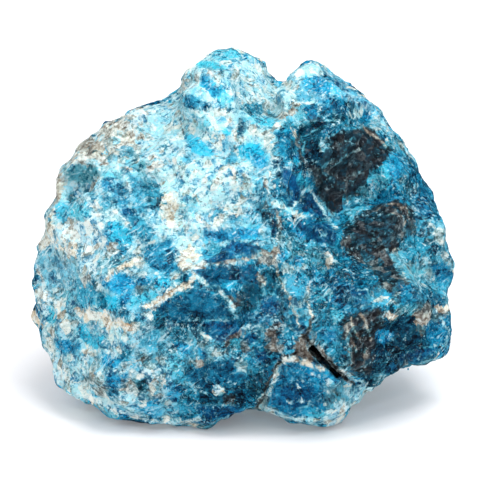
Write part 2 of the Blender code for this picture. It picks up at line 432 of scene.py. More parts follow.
# %% Grounds
PATCHES = [
    ("ice", 0.58, 0, (-26.2, 10.2), (-20.6, 15.8), (-9.2, 20.2), (-8.4, 25.2), (-2.8, 27.2), (4, 23.8),
      (4.4, 18), (4, 8), (-0.6, -0.6), (-7.8, -4.8), (-17.8, -2), (-27.8, -2), (-29.8, -0.6), (-27.8, 6.6)),
    ("mist", 0.7, 0, (-30.2, -0.6), (-17.8, -2), (-7.8, -4.8), (-13.4, -10.6), (-19.2, -13.4),
      (-26.2, -10.6), (-29.8, -7)),
    ("mist", 0.75, 0, (-29.8, -7.8), (-19.2, -13.4), (-7.8, -9.2), (-8.4, -26.8), (-16.2, -25.8),
      (-24.8, -21.2), (-28.8, -14.2)),
    ("teal", 0.85, 0, (-7.8, -6.2), (2.6, -3.4), (5.2, -13.4), (5.6, -17.2), (2, -25.6), (-9.2, -26.8),
      (-11.2, -14.8)),
    ("steeldark", 0.75, 0, (4, 18), (5.6, 15.2), (6.6, 10.2), (4.4, 5.2), (6.6, -0.6), (14.4, -2),
      (14.4, -9.2), (14.4, -20.6), (5.8, -16.2), (4, -9.2), (2.6, -2)),
    ("teal", 0.8, 0, (7.8, 15.8), (12.2, 20.2), (20.8, 16.6), (26.6, 6.6), (28, 0.8), (22.2, -7.8),
      (15.2, -9.2), (12.2, -2), (8, 8)),
    ("mistteal", 0.8, 0, (20.8, 15.2), (27.6, 6.6), (30.2, -3.4), (29.4, -9.8), (22.2, -9.2), (21.6, -2),
      (25.2, 2.2), (22.2, 8), (20.2, 12.2)),
    ("navy", 0.9, 0, (14.4, -10.6), (28.8, -9.8), (29.8, -13.4), (26.6, -18.8), (18, -21.8), (13.8, -18.4)),
]
print(len(PATCHES), "faces so far")

# %% [markdown]
# ## Left shoulder
#
# The shoulder is the crust that lay against other rock. Sand, grey and a little ochre dust cover
# it, with slate-coloured crystals showing where the crust has come off.

# %% Left shoulder
PATCHES += [
    ("sand", 0.5, 0, (-26.8, 9.8), (-26, 12.2), (-22.8, 14), (-19.2, 16.2), (-14.8, 18.2), (-13.4, 16.8),
      (-15.2, 14.8), (-17, 12.2), (-18, 10.8), (-20.6, 10.6), (-23.4, 10.8)),
    ("grey", 0.7, 0, (-20.9, 15.1), (-18.6, 16.3), (-16.9, 17.1), (-16.3, 16.3), (-18.3, 15.1),
      (-20, 14.3)),
    ("slateteal", 0.7, 0.3, (-20.6, 13.7), (-18.9, 14.1), (-18.3, 13.4), (-19.4, 12.6), (-20.6, 12.7)),
    ("slateteal", 0.7, 0.3, (-20, 11.9), (-17.4, 12.6), (-16.3, 12.3), (-17.1, 10.9), (-19.4, 10.7)),
    ("slateteal", 0.6, 0.3, (-16.9, 16.9), (-14.9, 17.7), (-14, 16.6), (-15.7, 15.7)),
    ("sandbrown", 0.8, 0, (-21.1, 15.4), (-18.9, 16.7), (-17.1, 17.6), (-16.9, 17.1), (-18.9, 16.1),
      (-20.9, 15)),
    ("grey", 0.9, 0.2, (-24, 13.7), (-22, 14.1), (-19.7, 13), (-18.7, 11.9), (-20.6, 11.3), (-22.3, 10.9),
      (-23.7, 12)),
    ("slate", 0.4, 0, (-22.6, 12.7), (-21.3, 12.7), (-21.4, 11.4), (-22.4, 11.3)),
    ("sand", 0.5, 0, (-18, 14.4), (-15.6, 13.7), (-16.6, 12), (-18.3, 12.3)),
    ("mistteal", 0.7, 0.4, (-16.9, 12.9), (-15.4, 13.1), (-14.6, 11.7), (-14.9, 10.1), (-16.3, 10.9),
      (-16.9, 12)),
    ("sky", 0.8, 0.4, (-18, 10.9), (-16.6, 11.1), (-15.1, 10.3), (-15.7, 9.6), (-17.4, 10.1)),
    ("slateteal", 0.95, 0.8, (-25.9, 9.7), (-23.4, 10.4), (-20.9, 10), (-20.7, 8.6), (-21.7, 7.7),
      (-23.1, 7.4), (-24.6, 7.9), (-25.7, 8.6)),
    ("grey", 0.97, 0.2, (-27.7, 9.1), (-25.9, 9.1), (-25.7, 7.3), (-26.3, 5.1), (-27.4, 3.4), (-27.9, 6.6)),
    ("pine", 0.85, 0.3, (-25.7, 7.1), (-24.3, 7.1), (-24.1, 5.1), (-24.9, 4.3), (-25.4, 5.7)),
    ("teal", 0.7, 0.3, (-22.9, 6.9), (-21.1, 6.9), (-21.3, 5.9), (-22.7, 5.9)),
    ("bright", 0.8, 0.5, (-27.1, 4.3), (-26.3, 5.1), (-24.9, 4.3), (-24.6, 2.3), (-26.3, 1.6),
      (-27.1, 3.1)),
    ("cyan", 0.85, 0.5, (-24.9, 4), (-22.7, 5.1), (-21.7, 3.7), (-22.9, 1.6), (-24.9, 2)),
    ("azure", 0.85, 0.6, (-20.7, 7.9), (-18.9, 8), (-18.6, 6.6), (-20.3, 6.3)),
    ("steel", 0.85, 0.6, (-20.9, 6.1), (-19.4, 6.3), (-18.9, 4.6), (-19.7, 3.4), (-20.7, 4.6)),
    ("blue", 0.85, 0.6, (-18.9, 7.4), (-17.1, 7.1), (-16, 5.1), (-16.9, 4), (-18.6, 4.3), (-19.1, 5.7)),
    ("sky", 0.85, 0.5, (-20.1, 9), (-18, 9.1), (-17.1, 8), (-18.9, 8.1), (-20.3, 8)),
    ("steel", 0.9, 0.6, (-16.9, 9.1), (-14.9, 8.3), (-13.7, 6.9), (-13.1, 4.4), (-14.9, 3), (-16.3, 3.4),
      (-16, 5.9), (-16.6, 7.7)),
    ("royal", 0.9, 0.6, (-18, 4.3), (-16.6, 4.4), (-15.7, 3.4), (-16.3, 2.3), (-17.7, 2.9)),
    ("steel", 0.95, 0.9, (-16.6, 3.1), (-14.9, 2.9), (-13.1, 1.1), (-12.3, -0.3), (-13.7, -0.9),
      (-15.1, -0.3), (-16.3, 1.4)),
    ("teal", 0.85, 0.5, (-14.6, 8.6), (-12.3, 8), (-11.4, 5.9), (-11.7, 3.6), (-13.4, 3.4), (-14.3, 5.1)),
    ("slate", 0.6, 0, (-13.7, 5.4), (-12, 5.7), (-12, 4), (-13.4, 3.9)),
    ("bright", 0.9, 0.6, (-20, 2), (-17.7, 2), (-16, 0.6), (-15.7, -1.1), (-18, -1.4), (-19.7, -0.6)),
    ("bright", 0.6, 0, (-19.1, 1.7), (-17.7, 1.4), (-18, 0.3), (-19.1, 0.6)),
    ("white", 0.75, 0, (-26.6, 1.4), (-20.6, 3.1), (-20, 0.4), (-19.4, -1.3), (-22, -2), (-27, -1.6),
      (-28.3, -0.3)),
    ("cream", 0.6, 0, (-30.1, -1.1), (-28.7, 0.6), (-28.6, 1.4), (-27.7, 3.1), (-26.9, 1.7), (-26.9, -0.6),
      (-28.9, -1.6)),
    ("bright", 0.5, 0.2, (-21.6, 0), (-20, 0.6), (-19.4, -0.9), (-21.1, -1)),
]
print(len(PATCHES), "faces so far")

# %% [markdown]
# ## Crown
#
# The left peak is broken fresh, so its crystals are thin, bright and clear. Cyan and azure faces
# stand between white bruises, and rust sits in the folds.

# %% Crown
PATCHES += [
    ("cyan", 0.85, 0.3, (-4.9, 25.4), (-4.3, 26.6), (-2.6, 27.4), (-0.3, 26.4), (-0.6, 25.4), (-3.1, 25)),
    ("ice", 0.8, 0, (-0.1, 25.9), (1.7, 25.1), (3.4, 23.4), (4, 21.4), (2.6, 21.1), (1.1, 23.4)),
    ("cyan", 0.97, 0.9, (-7, 25.1), (-4.6, 25.1), (-2.9, 24.4), (-2.4, 23.7), (-4.1, 23.6), (-6.6, 24)),
    ("slate", 0.8, 0, (-4.1, 23.7), (-2.4, 24.1), (-2.7, 23), (-3.9, 23.1)),
    ("rust", 0.5, 0, (-5.4, 23.7), (-4, 23.6), (-2.9, 22.9), (-4, 22.9), (-5.4, 23.3)),
    ("mist", 0.8, 0.3, (-8.4, 23.4), (-6.7, 23.7), (-6.6, 22.3), (-8, 22)),
    ("azure", 0.95, 0.8, (-6.4, 23), (-4.9, 23.1), (-4.3, 21.7), (-3.1, 20.9), (-3.3, 19.4), (-4.9, 19.7),
      (-6.3, 21.1)),
    ("bright", 0.95, 0.5, (-5.1, 22.6), (-3.7, 22.7), (-3.9, 21.4), (-4.9, 21.4)),
    ("bright", 0.9, 0.5, (-3.7, 21.7), (-2.4, 21.6), (-2.6, 20.3), (-3.4, 20.4)),
    ("deep", 0.85, 0.4, (-4.9, 20.9), (-3.4, 20.6), (-3.4, 19.6), (-4.6, 19.9)),
    ("blue", 0.9, 0.6, (-9.1, 20.3), (-7.7, 20.6), (-6.3, 19.4), (-4.4, 19.1), (-4.3, 18.3), (-5.7, 17.7),
      (-7.7, 18), (-8.9, 18.9)),
    ("deep", 0.7, 0, (-6.7, 19), (-4.7, 18.7), (-4.9, 18), (-6.4, 18.1)),
    ("sky", 0.8, 0.4, (-7.7, 17.7), (-5.4, 17.6), (-4.7, 16), (-5.9, 15.1), (-7.3, 15.6)),
    ("azure", 0.8, 0.4, (-2.4, 20.3), (-1, 20.1), (-1.1, 19), (-2.1, 19)),
    ("mist", 0.6, 0, (-1.1, 24.3), (1.1, 23.7), (2.6, 20.9), (1.7, 19.4), (-0.6, 20), (-1.7, 22.3)),
    ("sand", 0.7, 0, (-0.7, 19.7), (2, 19.7), (2.6, 19.1), (0.3, 18.7)),
    ("teal", 0.95, 0.6, (0.1, 18.9), (2, 19.3), (3, 18.6), (2.6, 17.4), (1.3, 16.9), (0.3, 17.7)),
    ("slate", 0.9, 0.4, (2.6, 18.6), (4, 18.3), (4.6, 17.3), (3.1, 17)),
    ("steeldark", 0.95, 0.7, (-0.6, 17.1), (0.3, 16.9), (0.6, 15.4), (-0.3, 14.1), (-1.1, 14.3),
      (-0.9, 15.7)),
    ("cyan", 0.7, 0.3, (0.4, 17.1), (2.6, 17.1), (4.1, 16.9), (4, 15.7), (1.6, 16), (0.4, 16.3)),
    ("azure", 0.8, 0.3, (-10.4, 17.3), (-8.9, 17.3), (-8.6, 16.4), (-10, 16.4)),
    ("mist", 0.7, 0.3, (-12.7, 16.9), (-9.4, 16.6), (-8.9, 14.6), (-11.3, 13.7), (-13.4, 15.1)),
    ("bright", 0.9, 0.4, (-8.7, 14.6), (-6.9, 14.7), (-5.6, 13), (-4.4, 12.3), (-3.9, 11.6), (-5.7, 11.1),
      (-7.7, 12.3)),
    ("steel", 0.85, 0.4, (-9, 12), (-7.7, 11.6), (-7.1, 10.6), (-8.3, 10.3), (-9.1, 11.1)),
    ("steel", 0.9, 0.5, (-3.1, 11.6), (-1.7, 12.3), (-0.6, 11.4), (-1.1, 10.3), (-2.9, 10.4)),
    ("azure", 0.95, 0.5, (0.9, 12.6), (2, 12.9), (3.4, 11.1), (4, 9.7), (2.6, 9.1), (1.1, 10.1)),
    ("cyan", 0.85, 0.3, (-0.7, 12.3), (0.9, 12.4), (1, 10.9), (-0.4, 10.9)),
    ("sand", 0.7, 0, (-2.6, 15.4), (-1, 15.6), (-1, 14.6), (-2.3, 14.6)),
    ("rust", 0.5, 0, (-4, 17.7), (-0.9, 16.9), (-0.9, 16.3), (-3.7, 17)),
    ("azure", 0.6, 0.3, (0, 8.6), (1.7, 8.3), (1.6, 7.4), (0, 7.6)),
]
print(len(PATCHES), "faces so far")

# %% [markdown]
# ## Light slope
#
# Below the crown a wide slope faces the light. It is the palest part: white and ice, with single
# azure crystals, and a bank of deep faces where the slope ends above the middle seam.

# %% Light slope
PATCHES += [
    ("ice", 0.8, 0, (-12.2, 9.8), (-6.2, 10.8), (-0.6, 10.2), (2.8, 9.2), (2, 7.8), (-1.2, 6.6),
      (-4.2, 4.4), (-6.2, 2), (-8, -0.6), (-9.2, -3.8), (-10.8, -4.8), (-10.6, -0.6), (-11.2, 1.6),
      (-11.6, 5.2), (-12.2, 8)),
    ("cream", 0.75, 0, (-11.3, 6), (-10, 6.7), (-9.3, 4.4), (-9.6, 1.6), (-10.9, 1.1), (-11.6, 3.4)),
    ("sky", 0.8, 0.3, (-8.9, 5.4), (-6.7, 5.6), (-6.3, 3.7), (-7.7, 2.9), (-9.1, 3.7)),
    ("sand", 0.5, 0, (-3.1, 9.7), (-1.4, 10), (-0.9, 8.6), (-2.6, 8)),
    ("ice", 0.75, 0.3, (-10.9, 8.6), (-7.7, 8.3), (-6.9, 6.6), (-9.1, 6), (-10.9, 6.9)),
    ("steel", 0.8, 0.5, (-5.4, 3.3), (-3.1, 4.6), (-1.6, 5.6), (-0.7, 5.1), (-1.1, 4.4), (-3.1, 3.4),
      (-4.9, 2.3)),
    ("cream", 0.7, 0, (-2.9, 4.3), (-0.9, 4.7), (0.3, 4), (-0.6, 3.1), (-2.6, 3.6)),
    ("steel", 0.7, 0, (-2.3, 3.3), (0.6, 3.1), (1.1, 1.9), (-0.6, 1.4), (-2.3, 2)),
    ("slate", 0.5, 0, (-5.6, 2.3), (-4, 2.9), (-4.3, 1.1), (-5.7, 0.9)),
    ("azure", 0.95, 0.7, (-6, 1.3), (-2.7, 0.9), (-0.6, 1.4), (2, 1), (2.7, -0.6), (-0.6, -0.6),
      (-4.1, -1), (-5.9, -0.6)),
    ("white", 0.6, 0, (-4.9, 2), (-3.1, 2.3), (-2.9, 1.4), (-4, 1.1), (-5, 1.1)),
    ("bright", 0.6, 0.2, (-5.6, -0.6), (-4, -0.4), (-4.3, -1.3), (-5.6, -1.7)),
    ("deep", 0.98, 0.95, (-5.9, -2.3), (-4.6, -1.1), (-2.9, -1.6), (-1.7, -0.4), (-0.3, -0.7), (1.1, -0.9),
      (2.9, -1.7), (2, -3.1), (-0.6, -3.9), (-3.4, -4.1), (-5.7, -3.9)),
    ("royal", 0.85, 0, (-2, -1), (-0.3, -1.3), (-0.6, -2.4), (-1.9, -2.6)),
    ("bright", 0.9, 0.3, (-6.1, -2), (-5, -2), (-4.9, -3.3), (-5.9, -3.1)),
    ("cyan", 0.6, 0, (0.3, 0), (2, -0.3), (2, -1.3), (0.6, -1.1)),
    ("cream", 0.8, 0, (-9, -2), (-7.4, -1), (-6.4, -2.7), (-7.7, -4.7), (-9.3, -4.6)),
    ("azuredeep", 0.92, 0.6, (-14.9, -1.9), (-13.4, -1.3), (-10.6, -0.4), (-9.3, -2), (-10.3, -3.7),
      (-9.1, -4.6), (-11.1, -5.7), (-13.4, -4.6), (-14.7, -3.1)),
    ("sky", 0.6, 0, (-12.3, -2.3), (-10.6, -1.7), (-10.3, -2.6), (-11.7, -3.1)),
    ("bright", 0.95, 0.5, (-13.1, -5.6), (-10.9, -5.6), (-10.1, -6.9), (-11.4, -7.9), (-13.1, -7.4)),
    ("teal", 0.85, 0.4, (-9, -5.4), (-7.4, -5), (-6.7, -6.6), (-8.1, -7.3), (-9.1, -6.6)),
    ("azure", 0.85, 0.3, (-7, -4.6), (-5.3, -4.7), (-5.6, -5.9), (-6.9, -5.7)),
    ("deepteal", 0.98, 0.95, (-6.7, -5.1), (-2.7, -4.1), (0.9, -4.1), (2.9, -5.6), (3, -8.3), (-0.3, -9.1),
      (-3.1, -8.3), (-5.7, -6.9)),
    ("pine", 0.9, 0.9, (-0.6, -7.1), (0.9, -6.6), (2.7, -7.1), (2.9, -9.1), (0.9, -9.7), (-0.9, -8.7)),
    ("bright", 0.75, 0, (-3.9, -6.9), (-2, -6.4), (-0.4, -7.4), (-2.1, -7.7)),
    ("pine", 0.9, 0.3, (2.6, -4.9), (4.9, -4.6), (5.7, -6.9), (4, -8.6), (2.6, -7.7)),
    ("steel", 0.85, 0.5, (-0.6, 8.6), (2.6, 8.3), (3.7, 6.6), (5, 4), (4.3, 3), (2.6, 5.1), (0.6, 6.3),
      (-0.9, 7.4)),
    ("steel", 0.6, 0, (0.3, 6.6), (2.6, 5.4), (3.4, 3.4), (1.7, 4), (0.3, 5.1)),
    ("navy", 0.95, 0.3, (2.4, 3.6), (3.7, 3.3), (4.6, 2), (4, 1.3), (2.6, 2.3)),
    ("steel", 0.7, 0, (1.1, 3.4), (2.6, 2.6), (4, 0.6), (2.6, 0.6), (1.1, 2)),
    ("slate", 0.6, 0, (1.7, 4.3), (2.6, 5.1), (4.3, 4.6), (4.3, 3.4), (2.3, 3.6)),
    ("greybrown", 0.95, 0.3, (2, -2.3), (4.6, -1.4), (4.6, -2.9), (2.6, -3.4)),
    ("slate", 0.8, 0, (2.6, -3.1), (4.3, -3.3), (4, -4.6), (2.6, -4.3)),
    ("sand", 0.6, 0, (1.7, -4.9), (2.6, -4.6), (2.9, -7), (2, -7)),
]
print(len(PATCHES), "faces so far")

# %% [markdown]
# ## Left edge and lower left
#
# Here the lump turns away to the left and rolls under. Clear azure and steel-blue faces alternate
# with cream seams, and the grains get smaller towards the foot.

# %% Left edge and lower left
PATCHES += [
    ("lavender", 0.75, 0.9, (-29.3, -3.7), (-28, -2.9), (-26.3, -3.1), (-24.3, -4.3), (-23.9, -5.4),
      (-25.7, -6.6), (-26.9, -8), (-27.9, -7.9), (-29, -5.4)),
    ("cream", 0.75, 0, (-26.9, -1.3), (-24.1, -1), (-23.6, -2.3), (-25.4, -3), (-26.6, -2.4)),
    ("sandbrown", 0.7, 0, (-20, -1.3), (-18.4, -1), (-18.1, -2.1), (-19.6, -2.4)),
    ("deepteal", 0.9, 0.3, (-18.1, -1.4), (-16.6, -1.6), (-16.6, -2.7), (-17.9, -2.9)),
    ("mistteal", 0.9, 0.4, (-21.1, -3.3), (-16.3, -2.9), (-15.3, -3.4), (-17.4, -4.7), (-20.6, -4.7)),
    ("white", 0.8, 0, (-23.4, -2), (-21.6, -0.3), (-21, -2.7), (-21.7, -5.1), (-22.7, -5.4), (-23.1, -3.7)),
    ("steel", 0.95, 0.6, (-24.3, -6.3), (-22.9, -5.7), (-21.1, -6.6), (-20.6, -8.6), (-21.1, -10),
      (-22.9, -10.4), (-24, -9.3)),
    ("sandbrown", 0.6, 0, (-23.6, -5.9), (-22.1, -5.7), (-22.3, -6.9), (-23.4, -7)),
    ("sky", 0.7, 0.3, (-26, -7.7), (-24.3, -7.1), (-24.1, -9.1), (-25.7, -9.7)),
    ("teal", 0.95, 0.8, (-20.6, -7.7), (-19.3, -9.1), (-19.3, -10.4), (-21, -10.4), (-21.3, -9.1)),
    ("azure", 0.97, 0.7, (-20.6, -5.9), (-18, -5.1), (-16.3, -5.7), (-15.3, -7.1), (-16.6, -8.6),
      (-18, -8.6), (-19.4, -7.7), (-20.3, -7)),
    ("bright", 0.95, 0.3, (-19.6, -7.7), (-18.3, -8.7), (-17.3, -9.6), (-18.3, -11), (-19.1, -10.3),
      (-20, -8.7)),
    ("azure", 0.9, 0.5, (-17.9, -8.7), (-16, -7.9), (-16.1, -9.1), (-17.1, -10.3), (-18.1, -10.3)),
    ("deepteal", 0.9, 0.2, (-18.9, -10.6), (-16.9, -10.3), (-16.6, -11.6), (-18.3, -12)),
    ("slate", 0.85, 0.3, (-15.7, -6.9), (-14, -6.6), (-13.7, -8), (-15.1, -8.4)),
    ("cyan", 0.85, 0.3, (-16.3, -8.9), (-14, -8.1), (-12, -7.4), (-12.3, -8.6), (-14, -9.6), (-16, -10.1)),
    ("azure", 0.9, 0.3, (-15.1, -5.7), (-12.6, -6), (-13.1, -7.1), (-15.1, -6.9)),
    ("cream", 0.95, 0, (-24.1, -10.4), (-21.7, -10.3), (-19.1, -11.4), (-17.4, -12.3), (-15.7, -12),
      (-16.3, -13.6), (-18.9, -13.3), (-21.3, -12.4), (-23.7, -11.6)),
    ("white", 0.7, 0, (-23.7, -10.7), (-21.7, -10.6), (-21.1, -11.7), (-23.1, -11.6)),
    ("ochre", 0.9, 0, (-17.6, -12.7), (-16, -12.4), (-16, -13.4), (-17.3, -13.7)),
    ("sandbrown", 0.8, 0, (-15.7, -10.9), (-13.4, -9.3), (-12, -9.7), (-12.6, -10.9), (-14.9, -11.7)),
    ("bright", 0.85, 0.8, (-23.9, -12.7), (-22.9, -12.3), (-22, -13.1), (-20.7, -13), (-19.7, -14.6),
      (-21.1, -16.4), (-22.6, -15.4), (-23.6, -14.4)),
    ("azure", 0.95, 0.8, (-27, -14.9), (-25, -14.7), (-24.3, -16.3), (-25.9, -17), (-27.1, -16)),
    ("steelblue", 0.9, 0.3, (-24.9, -15.4), (-23.3, -15.3), (-23.4, -16.6), (-24.7, -16.9)),
    ("cyan", 0.9, 0.4, (-28.7, -10.3), (-27.4, -9.9), (-26.4, -11.4), (-27.1, -13), (-28.4, -12)),
    ("slate", 0.7, 0, (-25, -10.7), (-24, -10.7), (-23.9, -12.3), (-24.7, -12.4)),
    ("cream", 0.6, 0, (-27.7, -9), (-26.3, -9.7), (-25.4, -11.7), (-26.3, -13.7), (-26.9, -11.7)),
    ("sand", 0.6, 0, (-22.3, -16.3), (-21.6, -16.6), (-21.7, -18.9), (-22.3, -18.3)),
    ("azure", 0.95, 0.7, (-20.4, -16.6), (-18.4, -16.1), (-17.1, -17.4), (-18.4, -19), (-20.3, -18.4)),
    ("teal", 0.85, 0.4, (-18, -16.6), (-16.1, -16.3), (-15.9, -17.7), (-17.1, -18.4)),
    ("azure", 0.7, 0.3, (-17.9, -14.6), (-16.6, -14.4), (-16.6, -15.9), (-17.7, -15.9)),
    ("steel", 0.85, 0.5, (-15.1, -14.3), (-12, -13.1), (-11.7, -16.3), (-13.4, -16.6), (-14.9, -15.7)),
    ("teal", 0.9, 0.4, (-13.4, -10.9), (-11.4, -10.6), (-11.1, -13.4), (-13.1, -13.4)),
    ("soil", 0.8, 0, (-14.9, -16.9), (-13.1, -16.9), (-12.9, -18.1), (-14.4, -18)),
    ("cream", 0.8, 0, (-14.3, -18), (-13.1, -18), (-13.3, -20), (-14.1, -19.7)),
    ("brown", 0.9, 0.3, (-20.9, -21.3), (-19.9, -21.3), (-19.4, -22.1), (-19.9, -23), (-20.7, -23),
      (-21.1, -22.1)),
    ("azure", 0.95, 0.7, (-19.7, -19.4), (-17.7, -19.9), (-16.3, -19), (-16.7, -21), (-18.7, -22),
      (-19.9, -20.9)),
    ("deep", 0.85, 0.3, (-19.4, -22), (-18, -21.7), (-17.9, -23), (-19.1, -23.1)),
    ("azure", 0.75, 0.3, (-25.9, -19.3), (-25.1, -19.4), (-24, -21.4), (-24.7, -21.4)),
    ("slate", 0.6, 0, (-23.1, -19.7), (-21.7, -20), (-22, -21.4), (-23, -21.1)),
    ("sandbrown", 0.6, 0, (-17.7, -20.6), (-16, -20.6), (-15.7, -22.3), (-17.1, -22.3)),
    ("pine", 0.95, 0.4, (-15.1, -20.4), (-14, -20.6), (-13.7, -22.3), (-14.7, -22.7), (-15.4, -21.6)),
    ("soil", 0.75, 0, (-13.4, -22.3), (-12, -22.3), (-12, -23.7), (-13.4, -23.4)),
    ("blue", 0.85, 0.3, (-14.1, -22.9), (-12.3, -22.7), (-12, -24.1), (-13.4, -24.7)),
    ("azure", 0.75, 0.3, (-15.9, -24.3), (-12.7, -24), (-11.1, -25.1), (-13.1, -26.1), (-15.1, -25.3)),
    ("ice", 0.75, 0.2, (-18, -22.3), (-16.1, -22), (-15.6, -24.3), (-17.4, -24.7)),
    ("sand", 0.6, 0, (-13.4, -20.6), (-11.7, -20.3), (-11.4, -22.3), (-13.1, -22.3)),
    ("steel", 0.6, 0.2, (-21.7, -23.1), (-18.9, -24), (-16.9, -25.1), (-18.9, -24.9)),
]
print(len(PATCHES), "faces so far")

# %% [markdown]
# ## Bottom middle
#
# The bottom middle is one coarse mixture of teal, deep blue and pale chips, darker than the left
# because it leans away from the light.

# %% Bottom middle
PATCHES += [
    ("deepteal", 0.97, 0.8, (-12, -10), (-9.8, -8.4), (-7, -7.2), (-4.2, -8.6), (-2.2, -9.8), (-1, -11.8),
      (-2.8, -13.4), (-5.6, -14.2), (-7.8, -12.8), (-10.6, -12.2), (-12, -11)),
    ("navy", 0.85, 0.3, (-7.4, -10.7), (-5.9, -10.9), (-5.4, -13.1), (-6.6, -13.7), (-7.7, -12.3)),
    ("deep", 0.95, 0.5, (-6.3, -12.3), (-1.1, -11.7), (1.1, -13.4), (-1.1, -14.6), (-3.4, -15.3),
      (-5.6, -14.3)),
    ("brown", 0.95, 0.4, (-2.4, -8.7), (-0.6, -8.9), (-0.4, -10.6), (-2, -10.3)),
    ("pine", 0.95, 0.3, (-0.6, -7.7), (1.7, -8), (1.9, -10.6), (0, -10.9)),
    ("deepblue", 0.95, 0.6, (2.6, -8.4), (4.6, -8.4), (5.3, -10.6), (3.7, -11.9), (2.3, -10.9)),
    ("deepteal", 0.9, 0.5, (-1.1, -10.9), (2.6, -10.9), (2.9, -12.9), (-0.6, -12.9)),
    ("mistteal", 0.9, 0.4, (-8.1, -13.1), (-6.3, -13.7), (-3.9, -15.6), (-3, -17.6), (-6.3, -17.6),
      (-8, -16.3), (-8.4, -14.6)),
    ("azure", 0.85, 0.3, (-6.9, -15.9), (-5.4, -16.3), (-5, -17.4), (-6.3, -17)),
    ("mist", 0.7, 0, (-4.7, -16), (-3.1, -16), (-2.7, -17.6), (-4.3, -17.4)),
    ("azure", 0.8, 0.3, (-9.7, -15.4), (-7.7, -15.7), (-7.7, -16.9), (-9.4, -16.9)),
    ("sky", 0.8, 0.3, (-1.9, -14.9), (-0.3, -14.6), (-0.1, -16.3), (-1.4, -16.6)),
    ("brown", 0.7, 0, (-0.6, -15.4), (1.1, -15.4), (1.1, -16.7), (-0.3, -16.6)),
    ("deep", 0.95, 0.6, (-0.1, -14), (1.7, -13.7), (2.1, -15.1), (0.6, -15.9), (-0.1, -15.1)),
    ("greybrown", 0.9, 0, (3.1, -13.3), (4.9, -12.3), (5.7, -13.7), (4.6, -15.6), (5.7, -17.4),
      (4.3, -16.6), (3.1, -14.9)),
    ("deep", 0.95, 0.6, (1.4, -16.3), (3.1, -16), (3.6, -18), (2, -18.6)),
    ("teal", 0.7, 0, (1.7, -12.9), (3.1, -13.4), (3.1, -16.3), (2, -15.7)),
    ("deepteal", 0.9, 0.6, (-8.3, -19.4), (-5.6, -18), (-0.6, -17.6), (1.1, -19.4), (-0.9, -20.7),
      (-4, -21.4), (-6.3, -21.9), (-8, -20.7)),
    ("cream", 0.5, 0, (-1.1, -18.6), (-0.1, -18.1), (0.9, -18.9), (0.3, -19.3), (-0.6, -19.1)),
    ("cream", 0.7, 0, (-4.6, -21.1), (-2.9, -21.4), (-3.1, -22.4), (-4.4, -22.3)),
    ("sky", 0.8, 0.2, (-10.9, -16.3), (-9, -16.3), (-9.3, -19.4), (-10.6, -20.4), (-11.3, -18.6)),
    ("sandbrown", 0.7, 0, (-8.3, -17.7), (-5.3, -17.3), (-5.4, -18.1), (-7.7, -18.9)),
    ("navy", 0.9, 0.3, (-7, -22), (-2.7, -22.4), (-0.6, -21.1), (0.6, -22.7), (-0.6, -24.3), (-3.4, -23.9),
      (-6.3, -23.9)),
    ("ink", 0.8, 0, (-2.9, -22.9), (-1.1, -22.6), (-1.1, -24), (-2.6, -24)),
    ("deep", 0.95, 0.5, (-7, -24.1), (-2, -24.1), (0.4, -24.9), (-0.6, -26), (-4.9, -26.1), (-6.6, -25.4)),
    ("pine", 0.95, 0.4, (0.6, -19.4), (2.9, -18.9), (3.7, -21.1), (1.9, -23.7), (0.6, -22)),
    ("steel", 0.7, 0.2, (-10.9, -24), (-7.7, -24), (-6.9, -25.1), (-9.1, -26.3), (-11.3, -25.4)),
    ("azure", 0.8, 0.2, (-11.4, -21.4), (-9.4, -21.6), (-8.9, -23.1), (-10.6, -23.7)),
]
print(len(PATCHES), "faces so far")

# %% [markdown]
# ## Dark side
#
# To the right of the crease the crystal is thick and clean, and so nearly black: the window in the
# upper recess, the ridges beside it and the hollow below. A band of teal faces frames them.

